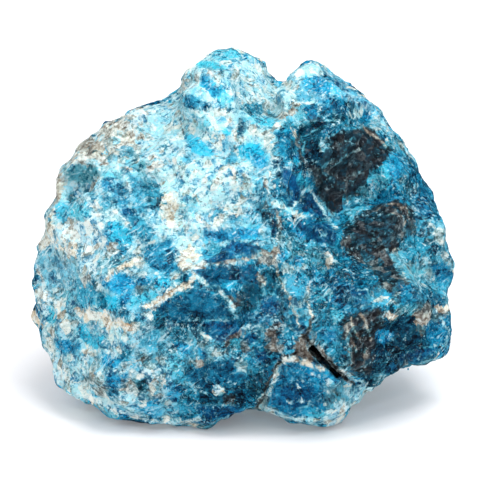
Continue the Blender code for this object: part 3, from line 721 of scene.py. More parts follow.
# %% Dark side
PATCHES += [
    ("ice", 0.8, 0.2, (8.4, 24), (9.7, 25), (11.9, 24), (11.1, 22.9), (9.1, 22.7)),
    ("azure", 0.97, 0.5, (8.1, 22.7), (10.6, 23.1), (12.1, 22), (12.4, 20.6), (10.6, 20), (8.7, 20.7)),
    ("bright", 0.7, 0, (8.3, 22.7), (9.7, 23), (9.7, 21.7), (8.4, 21.9)),
    ("steel", 0.9, 0.4, (7.9, 21.6), (9.1, 21.1), (9.3, 19.7), (8, 19.6)),
    ("ice", 0.7, 0, (9.3, 20.6), (11.3, 20), (10.6, 19.3), (9.3, 19.6)),
    ("azuredeep", 0.97, 0.7, (8.3, 18.6), (10.6, 19), (10.7, 17.1), (9.4, 16.4), (8.1, 16.9)),
    ("deepteal", 0.95, 0.4, (10.9, 18.9), (13.4, 19.6), (15.4, 19.4), (16.7, 18.9), (15.4, 17.6),
      (13.4, 17.3), (11, 17.4)),
    ("pine", 0.9, 0.2, (14.3, 19.4), (16.7, 19.1), (16.3, 18.1), (14.6, 18.3)),
    ("lavender", 0.9, 0.4, (11.6, 24.3), (13.4, 23.3), (15.3, 21.3), (18, 19.3), (20, 16.9), (22, 14.3),
      (20.6, 14.7), (18, 17.7), (15.9, 18.7), (13.7, 20.1), (12.4, 22.3)),
    ("cyan", 0.8, 0.2, (12.6, 21.7), (14.1, 21.1), (13.3, 19.7), (12.3, 20.4)),
    ("ice", 0.8, 0.3, (15.3, 17.9), (17.1, 18.6), (17, 17.1), (15.7, 16.7)),
    ("blue", 0.9, 0.3, (17.1, 18.9), (18.4, 18), (18.4, 16.4), (17.1, 16.3)),
    ("ice", 0.9, 0, (4, 18.9), (4.7, 20.9), (5.9, 22), (7.6, 22.9), (8.3, 20.9), (7.9, 18.9), (7.1, 18.3),
      (4.6, 17.1)),
    ("grey", 0.7, 0, (5.6, 22.6), (7.1, 22.7), (7, 21.3), (5.7, 21.3)),
    ("mist", 0.7, 0, (3.4, 23.1), (4.7, 21.4), (4.7, 19.4), (3.7, 20)),
    ("sky", 0.8, 0, (4.6, 16.6), (7.7, 18), (8.6, 18.9), (8.9, 16.9), (7.7, 15.4), (5.1, 15.4)),
    ("sandbrown", 0.95, 0, (4.4, 17), (6.6, 17.9), (7.6, 18.7), (7.9, 18), (6, 16.9), (4.7, 16.3)),
    ("teal", 0.8, 0.2, (5.1, 15.7), (6.6, 16.6), (7.6, 15.6), (5.6, 15)),
    ("mist", 0.85, 0, (2.6, 14.3), (4.3, 16), (4.9, 13.7), (4.6, 10.9), (4.9, 8.6), (3.4, 7.7), (2.6, 9.4),
      (2.9, 12.3)),
    ("deepteal", 0.97, 0.5, (4.4, 14.9), (7.1, 15.1), (7.6, 12.3), (6.3, 10.6), (4.9, 12.3)),
    ("azure", 0.6, 0, (4.4, 14), (5.6, 13.7), (5.7, 12), (4.7, 12.3)),
    ("pinedark", 0.95, 0.5, (7.7, 15.7), (11.1, 16.7), (13.7, 16.3), (12.3, 14.7), (9.4, 13.9),
      (7.9, 13.4)),
    ("deepteal", 0.7, 0, (10.6, 15.3), (13.4, 15.9), (14.6, 14.4), (12.3, 13.3), (10.3, 13.6)),
    ("ink", 0.98, 0.8, (8.2, 12.2), (10.2, 13.2), (14.4, 15.2), (18, 15.8), (21.2, 12.2), (19.4, 8.8),
      (17.8, 6), (14.6, 5.2), (12.6, 2.8), (10.6, 5.8), (9.4, 9.2)),
    ("pinedark", 0.95, 0.2, (7.9, 14.6), (11.1, 14.6), (12, 13.1), (10.9, 10.6), (9.1, 9.4), (8, 11.1)),
    ("mist", 0.7, 0, (10.4, 12.9), (11.9, 13.1), (11.7, 11.9), (10.6, 12)),
    ("cyan", 0.98, 0.2, (17.4, 6.6), (18.9, 9.1), (21.3, 11.7), (22.4, 10.9), (21.1, 8.6), (19.4, 7),
      (18, 5.7)),
    ("blue", 0.85, 0.3, (20.3, 11.4), (22.3, 12.3), (22.9, 10), (22, 8.6), (20.9, 8.7)),
    ("bright", 0.95, 0.7, (-1.1, 12.7), (0.3, 13.4), (2, 13.1), (3.1, 12), (3.7, 10.6), (2.3, 10),
      (0.9, 10.7), (-0.6, 11.3)),
    ("azure", 0.9, 0.6, (1.4, 11.7), (2.9, 11.4), (3.7, 10), (2.6, 9.4), (1.4, 10.3)),
    ("cyan", 0.9, 0.5, (1.3, 16.7), (3.1, 17.1), (4.6, 16.6), (4.3, 15.6), (2.6, 15.4)),
    ("bright", 0.9, 0.6, (-3.4, 15.4), (-2, 15.7), (-1.4, 14.6), (-2.6, 14)),
    ("azure", 0.9, 0.6, (-4.3, 16.9), (-2.9, 17.1), (-2.3, 16.3), (-3.7, 15.9)),
    ("royal", 0.98, 0.9, (5.1, 9.4), (6.6, 9.7), (8.1, 7.6), (8.1, 5.1), (6.7, 4.7), (5.6, 6.7)),
    ("cyan", 0.95, 0.4, (7.3, 10.3), (8.7, 8.3), (9.4, 6.3), (8.1, 7.4)),
    ("steel", 0.8, 0.4, (4.7, 11.7), (6.6, 10.6), (7.7, 9.7), (6.3, 9.7), (4.9, 10)),
    ("deepblue", 0.97, 0.9, (7.1, 4.3), (8.6, 6.6), (10.3, 5.7), (11.1, 4.3), (12.1, 2.3), (10.6, 2.7),
      (8.6, 3.4)),
    ("azuredeep", 0.95, 0.6, (7.7, 3.3), (9.4, 2.9), (10.9, 1.7), (10, 1), (8.4, 2.1)),
    ("deepblue", 0.97, 0.9, (7.4, 2.7), (9.1, 1.6), (12, 2), (13.3, 0.4), (12.7, -1.7), (10.9, -0.9),
      (8.9, 0), (7.7, 1.1)),
    ("sky", 0.85, 0.2, (2.9, 6.1), (5.1, 4.4), (6.9, 3.3), (6, 2.6), (4, 4.3)),
    ("teal", 0.9, 0.4, (5.3, 2.3), (6.9, 2), (7, -0.3), (5.6, -0.7)),
    ("slateteal", 0.6, 0, (6.9, 0), (9.4, -0.6), (12.3, -2), (13.6, -3.7), (11.6, -4.9), (8, -4.6),
      (5.9, -2.9), (5.1, -0.9)),
    ("azure", 0.7, 0.2, (4.3, -2.3), (5.9, -2.3), (5.7, -3.7), (4.6, -3.6)),
    ("azure", 0.7, 0.2, (7.3, -2.9), (8.4, -2.9), (8.3, -4.3), (7.4, -4.1)),
    ("cream", 0.6, 0, (11.4, -2.7), (12.6, -3.1), (12.6, -4.9), (11.6, -4.6)),
    ("steel", 0.9, 0.3, (6, -5.6), (8.7, -5.1), (9.9, -7), (8.7, -8.9), (7, -9.3), (6, -7.4)),
    ("inknavy", 0.9, 0.2, (14.4, 2), (19.4, 4.6), (25.2, 3.8), (26.2, 0.6), (22.2, -1.2), (22, -5.2),
      (18, -6), (15.2, -3.8), (14, -0.6)),
    ("ink", 0.97, 0.3, (18.6, 4.1), (20.9, 4.9), (23.4, 4.3), (24, 2.6), (22.3, 1.6), (19.7, 2)),
    ("ink", 0.95, 0.1, (14.6, 2), (17.1, 2.9), (19.1, 2), (19.4, 0.3), (16.9, 0), (16.3, -2), (17.4, -3.7),
      (16, -4.6), (14.6, -2.6), (14, -0.3)),
    ("ink", 0.95, 0.1, (18.9, -1.1), (21.4, -1.4), (22, -3.7), (21.7, -6.3), (22.9, -7.4), (20.6, -7.7),
      (18.9, -6.3), (18.3, -3.7)),
    ("slate", 0.8, 0, (16.6, -2.9), (18.9, -3.1), (19.4, -4.9), (17.4, -5.4), (16.6, -4.3)),
    ("sky", 0.9, 0.2, (13.9, 3.3), (15.9, 4), (17.6, 4.7), (16.6, 3.1), (15.1, 2.1)),
    ("sky", 0.7, 0.1, (14.3, 5.7), (16.1, 5.9), (15.4, 4.4), (14, 4.7)),
    ("blue", 0.7, 0.3, (17.4, 7.1), (21.4, 8), (22.9, 6.6), (20.6, 4.3), (17.7, 4.9)),
    ("teal", 0.7, 0.2, (22, -0.3), (25.9, 0.6), (28.1, -1.7), (27.1, -3.4), (23.7, -3.7), (22.3, -2.3)),
    ("mistteal", 0.97, 0.7, (21, -2.7), (21.7, -2.3), (22.6, -2.6), (23.1, -3.7), (24.3, -4.6),
      (25.7, -4.4), (27.1, -3.7), (27.7, -4.6), (26.6, -5.9), (24.6, -6.6), (23.1, -6.1), (21.9, -5)),
    ("sky", 0.9, 0.5, (23.4, -4.3), (25.1, -4.7), (26.6, -4.6), (25.7, -5.6), (24.1, -5.7)),
    ("ink", 0.9, 0.3, (20, -3.1), (21, -3.1), (21.9, -5.1), (23.1, -6.4), (24.3, -7), (22.9, -7.6),
      (21.1, -6.9), (20.3, -5.1)),
    ("mist", 0.7, 0, (26.6, 5.7), (27.6, 4), (28.1, 1.4), (28.4, -0.9), (27.4, -1.4), (26.9, 0.6),
      (26.3, 3.4)),
    ("deep", 0.72, 0.3, (11.6, -7.1), (14.4, -6.3), (16.6, -7.7), (15.4, -9.4), (12.3, -9.3)),
    ("deep", 0.98, 0.8, (14.9, -7.7), (17.7, -7.7), (17.9, -9.6), (15.9, -10)),
    ("slate", 0.45, 0.2, (17.9, -7.1), (22.3, -7.7), (22.3, -10), (20, -10.3), (18, -9.7)),
    ("deepteal", 0.9, 0.2, (22, -6.9), (25.1, -7.4), (28.6, -8), (28.6, -10), (24, -10), (22, -9.4)),
    ("navyblue", 0.85, 0.2, (14.6, -3.7), (17.4, -3.7), (18.4, -6.3), (15.4, -6.9)),
    ("teal", 0.8, 0.2, (16.9, -4.9), (18.6, -5.7), (18.3, -7.4), (16.9, -6.6)),
    ("teal", 0.85, 0.3, (10.6, -9.1), (14, -10), (14.6, -13.1), (14, -18), (11.7, -16.6), (10.3, -13.7),
      (9.4, -10.9)),
    ("deep", 0.85, 0.4, (11, -13.3), (13, -13.6), (12.7, -15.3), (11.1, -15)),
    ("sky", 0.8, 0.1, (12.1, -10.3), (13.9, -10.6), (13.9, -12.6), (12.6, -12.3)),
    ("ink", 0.97, 0.3, (13.8, -11.8), (15.8, -10.8), (18.2, -10), (20.2, -10.6), (19.6, -14.8),
      (18.6, -19.8), (15.4, -19.6), (14.6, -15.6)),
    ("navy", 0.97, 0.4, (20.2, -10.8), (23, -10.6), (28, -10.8), (28.8, -13.4), (26.6, -16.2), (22.2, -18),
      (18.6, -19.8), (18.2, -15.6), (19.4, -13.4)),
    ("ink", 0.5, 0, (16.7, -10.3), (18.9, -9.9), (18.4, -11.9), (17.1, -11.7)),
    ("sand", 0.85, 0, (20.1, -10.7), (22.1, -10.7), (21.7, -12.4), (20.6, -12.1)),
    ("sandbrown", 0.85, 0, (23.6, -10.4), (25.9, -10.1), (26.7, -12), (25.6, -13.6), (24.4, -12.3)),
    ("sand", 0.8, 0, (25.9, -10.1), (28.9, -9.7), (28.4, -11.4), (26.6, -11.9)),
    ("azure", 0.95, 0.4, (18.7, -13.7), (20, -13.3), (21.3, -14.1), (20.7, -15.4), (19.1, -15.3)),
    ("azuredeep", 0.95, 0.4, (25.7, -12.7), (28.7, -11.1), (29.9, -12.6), (29.3, -15.1), (26.6, -15.7)),
    ("deepblue", 0.85, 0.5, (22.3, -16.9), (28, -15.6), (26.9, -17.7), (23.4, -18.6), (19.4, -20)),
    ("azuredeep", 0.97, 0.8, (26.6, -4.1), (28.7, -3.6), (30.3, -5.6), (29.9, -7.9), (27.7, -7.3)),
    ("deepteal", 0.9, 0.2, (22.3, 12.3), (25.1, 10.1), (27.4, 6.6), (28.1, 2), (27.1, 0.6), (25.9, 3.7),
      (24.4, 7.3), (22.6, 9.4)),
    ("deep", 0.7, 0.2, (23.7, 6.6), (26.6, 5.9), (26.9, 3), (24.6, 2.6)),
]
print(len(PATCHES), "faces so far")

# %% [markdown]
# ## Chunk at the foot
#
# The chunk in front is a crystal of its own, clear azure with a pale rim.

# %% Chunk at the foot
PATCHES += [
    ("azuredeep", 0.98, 0.8, (5.6, -18), (7.8, -17.2), (10.8, -18.6), (13.4, -19.8), (14.6, -21.2),
      (14, -23.4), (10.6, -26.2), (6.6, -26.2), (3.4, -24.2), (4.2, -21.2)),
    ("deep", 0.9, 0.5, (5.1, -21.4), (8, -20.3), (10, -22), (9.1, -24.3), (6.6, -25.1), (4.6, -23.7)),
    ("azure", 0.8, 0.4, (8.9, -18.3), (11.1, -19), (13.1, -20.3), (12.9, -21.7), (10.9, -20.6),
      (8.9, -19.7)),
    ("mistteal", 0.9, 0.3, (11.7, -20.3), (14.4, -21.1), (18.4, -21.7), (16.9, -23.3), (14, -25.3),
      (11.7, -25.7), (11.1, -23.4)),
    ("mist", 0.9, 0.2, (14.6, -21.4), (17.3, -21.7), (17.3, -23.7), (15.1, -24.3)),
    ("greybrown", 0.95, 0.2, (7, -15.1), (8.6, -14.3), (9.7, -16.3), (10.9, -17.7), (8.9, -17.9),
      (7.4, -17)),
    ("steel", 0.9, 0.4, (4.7, -14.1), (6.6, -13.6), (7.3, -15.6), (6.7, -17.3), (5.1, -17)),
    ("deepteal", 0.98, 0.9, (6.4, -11.7), (8.9, -11.7), (9, -14), (7.1, -13.7)),
    ("deepteal", 0.9, 0.6, (8.9, -13.6), (10.7, -14), (10.6, -15.4), (9.1, -14.9)),
    ("slate", 0.7, 0, (2.6, -24.3), (5.9, -25.4), (6.6, -26.3), (3.7, -25.9)),
]
print(len(PATCHES), "faces so far")

# %% [markdown]
# ## Last touches
#
# With all faces on, the stone is looked at again from a step away, as a painter does. Where a place
# reads too light or too dark beside its neighbours, one more face goes over it.

# %% Last touches
PATCHES += [
    ("steeldark", 0.75, 0.3, (4.4, -7.7), (6, -7.1), (6.7, -9.1), (6.4, -11.7), (6.9, -13.1), (5.1, -13.7),
      (3.4, -13.1), (2.9, -11.7), (4.6, -10.9), (4.3, -9.1)),
    ("slate", 0.85, 0.2, (-15.4, -16.7), (-13.9, -16.4), (-12, -16.9), (-11.4, -18), (-12.9, -18.9),
      (-14.4, -18.6)),
    ("teal", 0.6, 0.4, (-12.7, -15.4), (-11.3, -15.1), (-10.4, -16.3), (-11.4, -17.3), (-12.6, -16.9)),
    ("white", 0.9, 0, (11.7, -25.4), (13.7, -24), (15.4, -23.7), (14.9, -25.4), (13.4, -27.1),
      (11.7, -26.9)),
    ("sky", 0.75, 0.2, (8.9, -25.4), (10.6, -24.6), (12.3, -25), (11.7, -26.9), (9.1, -27)),
    ("white", 0.9, 0.2, (-30, -8.3), (-28.9, -7.1), (-27.7, -7.7), (-27.6, -9.4), (-28.3, -11.1),
      (-29.4, -10.3)),
    ("sky", 0.75, 0.4, (9.9, -7.4), (11.1, -7), (12.6, -8), (12, -9.4), (10.4, -9.6)),
    ("teal", 0.65, 0.3, (1.7, 0.3), (3.1, 0.7), (4.1, -0.4), (3.4, -1.9), (2.1, -1.6)),
    ("ice", 0.75, 0.2, (-20.3, -15.1), (-18.9, -14.3), (-17.6, -15.1), (-18, -16.6), (-19.7, -16.9)),
    ("ice", 0.75, 0.1, (-26.7, -20.7), (-25.1, -20), (-23.4, -21.1), (-23.1, -22.7), (-24.9, -23.1)),
    ("ice", 0.8, 0.3, (-19.4, -13.4), (-18.1, -12.9), (-16.7, -13.4), (-17.1, -15), (-18.9, -15.3)),
    ("deepteal", 0.9, 0.5, (13.4, -9.4), (15.1, -9), (16.9, -8.7), (18.6, -9.1), (18.3, -10.6),
      (16, -10.9), (14.1, -11)),
    ("steel", 0.8, 0.4, (7.1, 20.9), (8.3, 21.7), (9.9, 21), (9.6, 19.6), (7.7, 19.1)),
    ("slate", 0.65, 0.2, (-1.4, -18), (-0.1, -17.3), (1.1, -18), (0.7, -19.6), (-0.9, -19.7)),
    ("grey", 0.9, 0, (-17.1, 14.6), (-15.7, 15.3), (-14.4, 14.6), (-14.9, 13.3), (-16.6, 12.9)),
    ("slate", 0.75, 0.3, (1, -2.1), (2.3, -1.6), (3.3, -2.4), (2.7, -3.7), (1.4, -3.6)),
    ("slateteal", 0.65, 0.2, (16, 6.6), (17.4, 7.4), (18.9, 6.7), (18.6, 5.1), (16.7, 4.9)),
    ("steel", 0.85, 0.5, (28.1, -6.9), (29.3, -6.1), (30.4, -6.9), (30.1, -8.6), (28.9, -8.9)),
    ("ink", 0.85, 0.3, (14, -12.3), (15.4, -11.6), (16.3, -12.7), (16, -14.4), (14.4, -14.1)),
    ("slateteal", 0.75, 0.2, (21.9, -9.9), (23.4, -9.3), (24.7, -10.1), (24, -11.3), (22.3, -11.1)),
    ("steeldark", 0.75, 0.5, (4.6, 6.9), (6, 7.3), (6.9, 6.1), (6.4, 4.7), (5, 4.9)),
    ("teal", 0.65, 0.5, (3.9, 13.1), (5.3, 13.7), (6.4, 12.6), (5.7, 11.1), (4.1, 11.4)),
    ("teal", 0.75, 0.3, (25.6, -6.7), (27.1, -6.1), (28.4, -6.9), (27.9, -8.1), (26.1, -8.3)),
    ("teal", 0.65, 0.2, (7.9, -10.7), (9.1, -10.1), (10.3, -11.1), (9.7, -12.6), (8.1, -12.4)),
    ("sky", 0.8, 0.4, (18.3, 8.4), (19.7, 9), (20.9, 8), (20.3, 6.6), (18.7, 6.4)),
    ("ice", 0.7, 0.2, (-1.1, 7.6), (0.3, 8.3), (1.6, 7.3), (1, 5.9), (-0.7, 5.7)),
    ("deepteal", 0.7, 0.4, (-0.6, -12.6), (0.6, -12), (1.7, -13), (1.1, -14.4), (-0.3, -14.3)),
    ("cyan", 0.85, 0.5, (-4, 20.1), (-2.6, 20.7), (-1.4, 19.7), (-2.1, 18.3), (-3.7, 18.6)),
    ("pine", 0.6, 0.3, (3.9, -12.1), (5.1, -11.6), (6.6, -12.3), (6.3, -14), (4.7, -14.1)),
    ("deepteal", 0.75, 0.5, (1.9, -11.4), (3, -10.9), (4.1, -11.7), (3.9, -13.3), (2.3, -13.4)),
    ("steel", 0.7, 0.4, (0.4, 9.3), (1.9, 9.9), (3.1, 9), (2.6, 7.4), (1, 7.3)),
    ("slate", 0.5, 0.2, (-14.1, -21.6), (-12.9, -21), (-11.4, -21.7), (-11.9, -23.3), (-13.6, -23.4)),
    ("white", 0.7, 0, (-16.3, 18.1), (-14.9, 18.9), (-13.6, 18), (-14.1, 16.4), (-15.9, 16.4)),
    ("steelblue", 0.5, 0.3, (-0.4, 4.9), (0.9, 5.4), (2.3, 4.6), (1.7, 3.1), (0.1, 3)),
    ("ink", 0.85, 0, (0.9, -24.9), (2, -24.4), (3, -25.3), (2.6, -27), (1, -27)),
    ("azure", 0.75, 0.5, (9.6, 20.9), (11.1, 21.4), (12.7, 20.6), (12.3, 19), (10.3, 18.9)),
    ("slate", 0.75, 0.2, (24.6, -9.4), (26, -8.9), (27.4, -9.7), (26.7, -11.3), (25.1, -11.3)),
    ("slateteal", 0.75, 0.3, (-16.1, 10.1), (-14.7, 10.7), (-13.3, 9.9), (-13.9, 8.3), (-15.6, 8.1)),
    ("steel", 0.6, 0.2, (-17.4, -18.1), (-16.1, -17.6), (-14.9, -18.4), (-15.4, -19.9), (-16.9, -19.9)),
    ("steel", 0.55, 0.2, (24, 1.9), (25.4, 2.4), (26.7, 1.6), (26.1, -0.1), (24.6, -0.1)),
    ("pine", 0.65, 0.4, (-2.7, -9.3), (-1.4, -8.9), (-0.1, -9.7), (-0.7, -11.1), (-2.1, -11.3)),
    ("ice", 0.65, 0.1, (-24.7, -17.9), (-23.4, -17.3), (-22, -18.1), (-22.6, -19.9), (-24.1, -19.9)),
    ("sandbrown", 0.7, 0, (-28, 8.3), (-26.9, 8.9), (-25.9, 7.7), (-26.3, 5.6), (-27.7, 5.7)),
    ("slate", 0.65, 0.2, (21.9, -18.1), (23.3, -17.7), (24.7, -18.4), (24, -19.9), (22.3, -20)),
    ("teal", 0.55, 0.3, (6.1, 4.7), (7.4, 5.3), (8.6, 4.3), (8, 2.9), (6.6, 3)),
    ("pine", 0.65, 0.5, (6.6, 13.9), (7.7, 14.4), (8.7, 13.3), (8.3, 11.6), (7, 11.7)),
    ("ice", 0.65, 0.2, (-22.4, -12.1), (-21, -11.6), (-19.7, -12.4), (-20.3, -13.9), (-21.9, -14)),
    ("white", 0.7, 0.1, (-28.1, -18.4), (-26.7, -17.9), (-25.4, -18.9), (-26, -20.6), (-27.6, -20.6)),
    ("steel", 0.65, 0.2, (-15.3, -9.6), (-13.9, -9), (-12.7, -9.9), (-13.3, -11.3), (-14.9, -11.3)),
    ("steeldark", 0.65, 0.4, (-6.3, -13.4), (-4.9, -12.9), (-3.6, -13.7), (-4.1, -15.1), (-5.7, -15.1)),
    ("ice", 0.55, 0.2, (-9.3, 17.1), (-7.9, 17.7), (-6.6, 16.9), (-7.1, 15.1), (-8.7, 15.3)),
    ("steel", 0.65, 0.4, (-3.4, 2.1), (-2, 2.7), (-0.6, 1.9), (-1.1, 0.4), (-2.9, 0.4)),
    ("slate", 0.45, 0.2, (-17.3, -21.7), (-15.9, -21.1), (-14.6, -22), (-15.1, -23.4), (-16.7, -23.4)),
    ("teal", 0.55, 0.3, (-10.4, -7.3), (-9, -6.7), (-7.7, -7.6), (-8.3, -9), (-9.9, -9)),
    ("teal", 0.6, 0.3, (21.1, 8.3), (22.6, 8.9), (24, 8), (23.4, 6.4), (21.7, 6.4)),
    ("steeldark", 0.6, 0.3, (2.6, -18.3), (3.7, -17.7), (4.7, -18.7), (4.3, -20.3), (3, -20.1)),
    ("pine", 0.5, 0.2, (-3.1, -14.6), (-1.7, -14.1), (-0.6, -15.1), (-1.1, -16.3), (-2.7, -16.3)),
    ("slate", 0.5, 0.2, (9.3, 9.4), (10.7, 10), (12.3, 9.1), (11.7, 7.7), (9.9, 7.7)),
    ("azuredeep", 0.7, 0.4, (20.6, 10.3), (22, 10.9), (23.3, 9.9), (22.7, 8.3), (21, 8.4)),
    ("steeldark", 0.5, 0.3, (10, 0), (11.4, 0.4), (12.9, -0.4), (12.4, -2), (10.6, -2)),
    ("ice", 0.6, 0.2, (-20.1, -15), (-18.9, -14.6), (-17.6, -15.4), (-18.1, -17), (-19.7, -16.9)),
    ("azuredeep", 0.6, 0.5, (-1.6, -3.1), (-0.1, -2.6), (1.1, -3.4), (0.6, -4.7), (-1, -4.9)),
    ("sky", 0.6, 0.3, (-5.9, -1), (-4.6, -0.4), (-3.3, -1.3), (-3.7, -2.7), (-5.4, -2.7)),
    ("slate", 0.6, 0.1, (13.7, 5), (15.1, 5.6), (16.6, 4.7), (16.1, 3.3), (14.3, 3.1)),
    ("slate", 0.6, 0.2, (8.3, -14.4), (9.6, -13.9), (10.9, -14.7), (10.4, -15.9), (8.9, -15.9)),
    ("mist", 0.6, 0.2, (17.7, 16.7), (19.1, 17.3), (20.6, 16.3), (20.1, 14.9), (18.3, 15)),
    ("bright", 0.6, 0.4, (-7.3, 21.1), (-6, 21.6), (-4.6, 20.7), (-5.1, 19.3), (-6.9, 19.3)),
    ("grey", 0.6, 0.1, (3.3, -15.4), (4.6, -14.9), (5.9, -15.9), (5.3, -17.1), (3.7, -17)),
    ("sandbrown", 0.5, 0, (-14, 10.9), (-12.7, 11.4), (-11.4, 10.4), (-12, 9.1), (-13.4, 9.1)),
]
print(len(PATCHES), "faces so far")

# %% [markdown]
# ## Open cracks
#
# Two open cracks part the chunk from the rest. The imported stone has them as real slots. Hardly any
# light comes back out of a crack, so paint nearly black draws their tapering ends further.

# %% Open cracks
PATCHES += [
    ("pit", 1, 0.9, (3.1, -22.1), (3.4, -22.6), (3, -23.7), (2.6, -24.7), (1.6, -24.6), (2, -23.3)),
]
print(len(PATCHES), "faces so far")

# %% [markdown]
# ## Seams of the upper left
#
# Seams are lines with a width in mm instead of a cleanness. They are laid on after all the faces,
# because they run across them. The first ones are rusty joints of the shoulder and brown pits.

# %% Seams of the upper left
SEAMS = [
    ("rust", 0.8, 0.26, (-26.9, 9.7), (-26, 10.6), (-24.1, 10.9), (-22, 10.1), (-21.1, 10), (-19.9, 10.4),
      (-17.7, 9.7), (-15.6, 9.4)),
    ("rust", 0.8, 0.23, (-26, 11.1), (-24.3, 12.9), (-21.7, 14.9), (-19.1, 16), (-17.7, 16.7)),
    ("rust", 0.95, 0.57, (-13.9, 9.3), (-12, 10.9)),
    ("sand", 0.8, 0.36, (-8.6, 20.9), (-8.7, 23), (-7.4, 24.3)),
    ("white", 0.9, 0.31, (-8, 21.6), (-6.3, 21.1), (-4.4, 19.6)),
    ("white", 0.8, 0.26, (-6.9, 25.1), (-8.3, 23.7)),
    ("soil", 0.95, 0.37, (-9, 16.1), (-8.6, 14.7)),
    ("brown", 0.7, 0.34, (-12, 12.1), (-11.4, 12.3)),
    ("brown", 0.7, 0.29, (-10.9, 12.7), (-9.7, 12.7)),
    ("brown", 0.7, 0.23, (-4.4, 10.9), (-3.3, 11.9)),
    ("brown", 0.8, 0.29, (1.1, 21.6), (1.7, 20.7)),
    ("soil", 1, 0.37, (2.9, 14.4), (4, 15.1), (4.4, 15.6)),
    ("soil", 0.95, 0.34, (5.6, 17.3), (6.6, 17.7), (7.6, 18.6)),
    ("soil", 0.8, 0.31, (4, 20.6), (4.1, 21.7)),
    ("brown", 0.6, 0.29, (3.4, 9.1), (4.9, 8.9), (4, 8)),
]
print(len(SEAMS), "seams so far")

# %% [markdown]
# ## Seams of the middle
#
# White streaks run up the slope, and one long sandy seam crosses the stone below it and forks
# around the great deep face. A few dark pits sit where the branches meet.

# %% Seams of the middle
SEAMS += [
    ("white", 0.95, 0.29, (-5.9, 2), (-4.3, 3.6), (-2.6, 4.9), (-1.1, 6)),
    ("white", 0.8, 0.23, (-5.9, 0.9), (-4.9, 1.9), (-3.7, 2.7)),
    ("steel", 0.8, 0.23, (-5.3, 1.7), (-4.4, 2.4), (-3.6, 3.3)),
    ("sandbrown", 0.95, 0.54, (-5.6, -4.4), (-4.1, -4), (-2.6, -4.1), (-0.6, -3.4), (1.1, -3.1),
      (2.9, -2.6)),
    ("sand", 0.7, 0.37, (2.9, 8.6), (3.4, 5.7), (4.6, 3.4), (4.9, 1.4), (4.6, -1.1), (4.3, -3.7),
      (5.1, -6.3), (6.6, -9.1), (8, -13.4)),
    ("soil", 0.95, 0.31, (4.6, -1), (4.4, -2), (4.1, -3.1)),
    ("soil", 0.9, 0.31, (4, 0.7), (4.7, 1.4), (5, 2)),
    ("brown", 0.9, 0.43, (-9.6, -5.6), (-8.9, -4.6), (-8.1, -4.9)),
    ("brown", 0.8, 0.37, (-9.1, -3.7), (-9, -3.1)),
    ("brown", 0.8, 0.34, (-7.4, -4.6), (-7.3, -5.3)),
    ("cream", 0.98, 0.71, (-6.9, -5.4), (-8, -7.1), (-9.7, -7.7), (-12, -9.1), (-14, -10)),
    ("ice", 0.98, 0.54, (-6.9, -5.7), (-5.4, -6.9), (-3.7, -7.7), (-2.6, -8.9), (-1.4, -10.6)),
    ("cream", 0.9, 0.66, (-19.4, -5.7), (-18, -4.7), (-16.3, -4), (-14.6, -3)),
]
print(len(SEAMS), "seams so far")

# %% [markdown]
# ## Seams of the lower left
#
# Pale veins part the small faces here, and brown specks of soil have stayed in the hollows.

# %% Seams of the lower left
SEAMS += [
    ("white", 0.7, 0.34, (-29.7, -3.4), (-29, -6.3), (-27.9, -8.6), (-26.3, -10)),
    ("grey", 0.7, 0.26, (-29.6, -4.6), (-28.6, -6.9), (-27.4, -8.9)),
    ("white", 0.6, 0.43, (-28.9, -12), (-28.3, -15.6), (-26.3, -19.4), (-22.9, -22.3), (-19.1, -24.6),
      (-14.9, -25.9), (-10.9, -27), (-6.3, -26.3)),
    ("white", 0.85, 0.49, (-22.6, -16.3), (-22.6, -18.6)),
    ("brown", 0.7, 0.23, (-22.1, -16.6), (-21.9, -18)),
    ("brown", 0.7, 0.26, (-17.7, -16.3), (-17.4, -16.9)),
    ("brown", 0.7, 0.29, (-17.4, -18.7), (-16, -18.3)),
    ("ice", 0.8, 0.29, (-20.7, 8), (-20.9, 6.3), (-21.1, 5.1)),
    ("ice", 0.8, 0.26, (-16.9, 8.3), (-16.6, 6.6), (-17.1, 5.7)),
    ("brown", 0.98, 0.63, (-2.4, -16.6), (-2.6, -15.4), (-2, -14.6), (-0.9, -14), (-0.1, -14)),
    ("ice", 0.8, 0.31, (-0.6, -13.6), (0.9, -12.9), (2.3, -13), (3, -14)),
    ("ice", 0.7, 0.29, (-1.7, -17.1), (-0.6, -17.7), (0.3, -17.1)),
    ("ice", 0.7, 0.29, (-6.3, -13.6), (-4.9, -14.6), (-3.7, -15.9)),
    ("ice", 0.8, 0.29, (-8.3, -20.9), (-6.9, -21.4), (-5.4, -22.3)),
    ("ice", 0.8, 0.29, (-7.4, -11.7), (-8.3, -12.3), (-8, -13.4)),
]
print(len(SEAMS), "seams so far")

# %% [markdown]
# ## Seams of the dark side
#
# Thin misty steps cross the black window, and pale ridges frame it. Sand lines the hollow's rim.

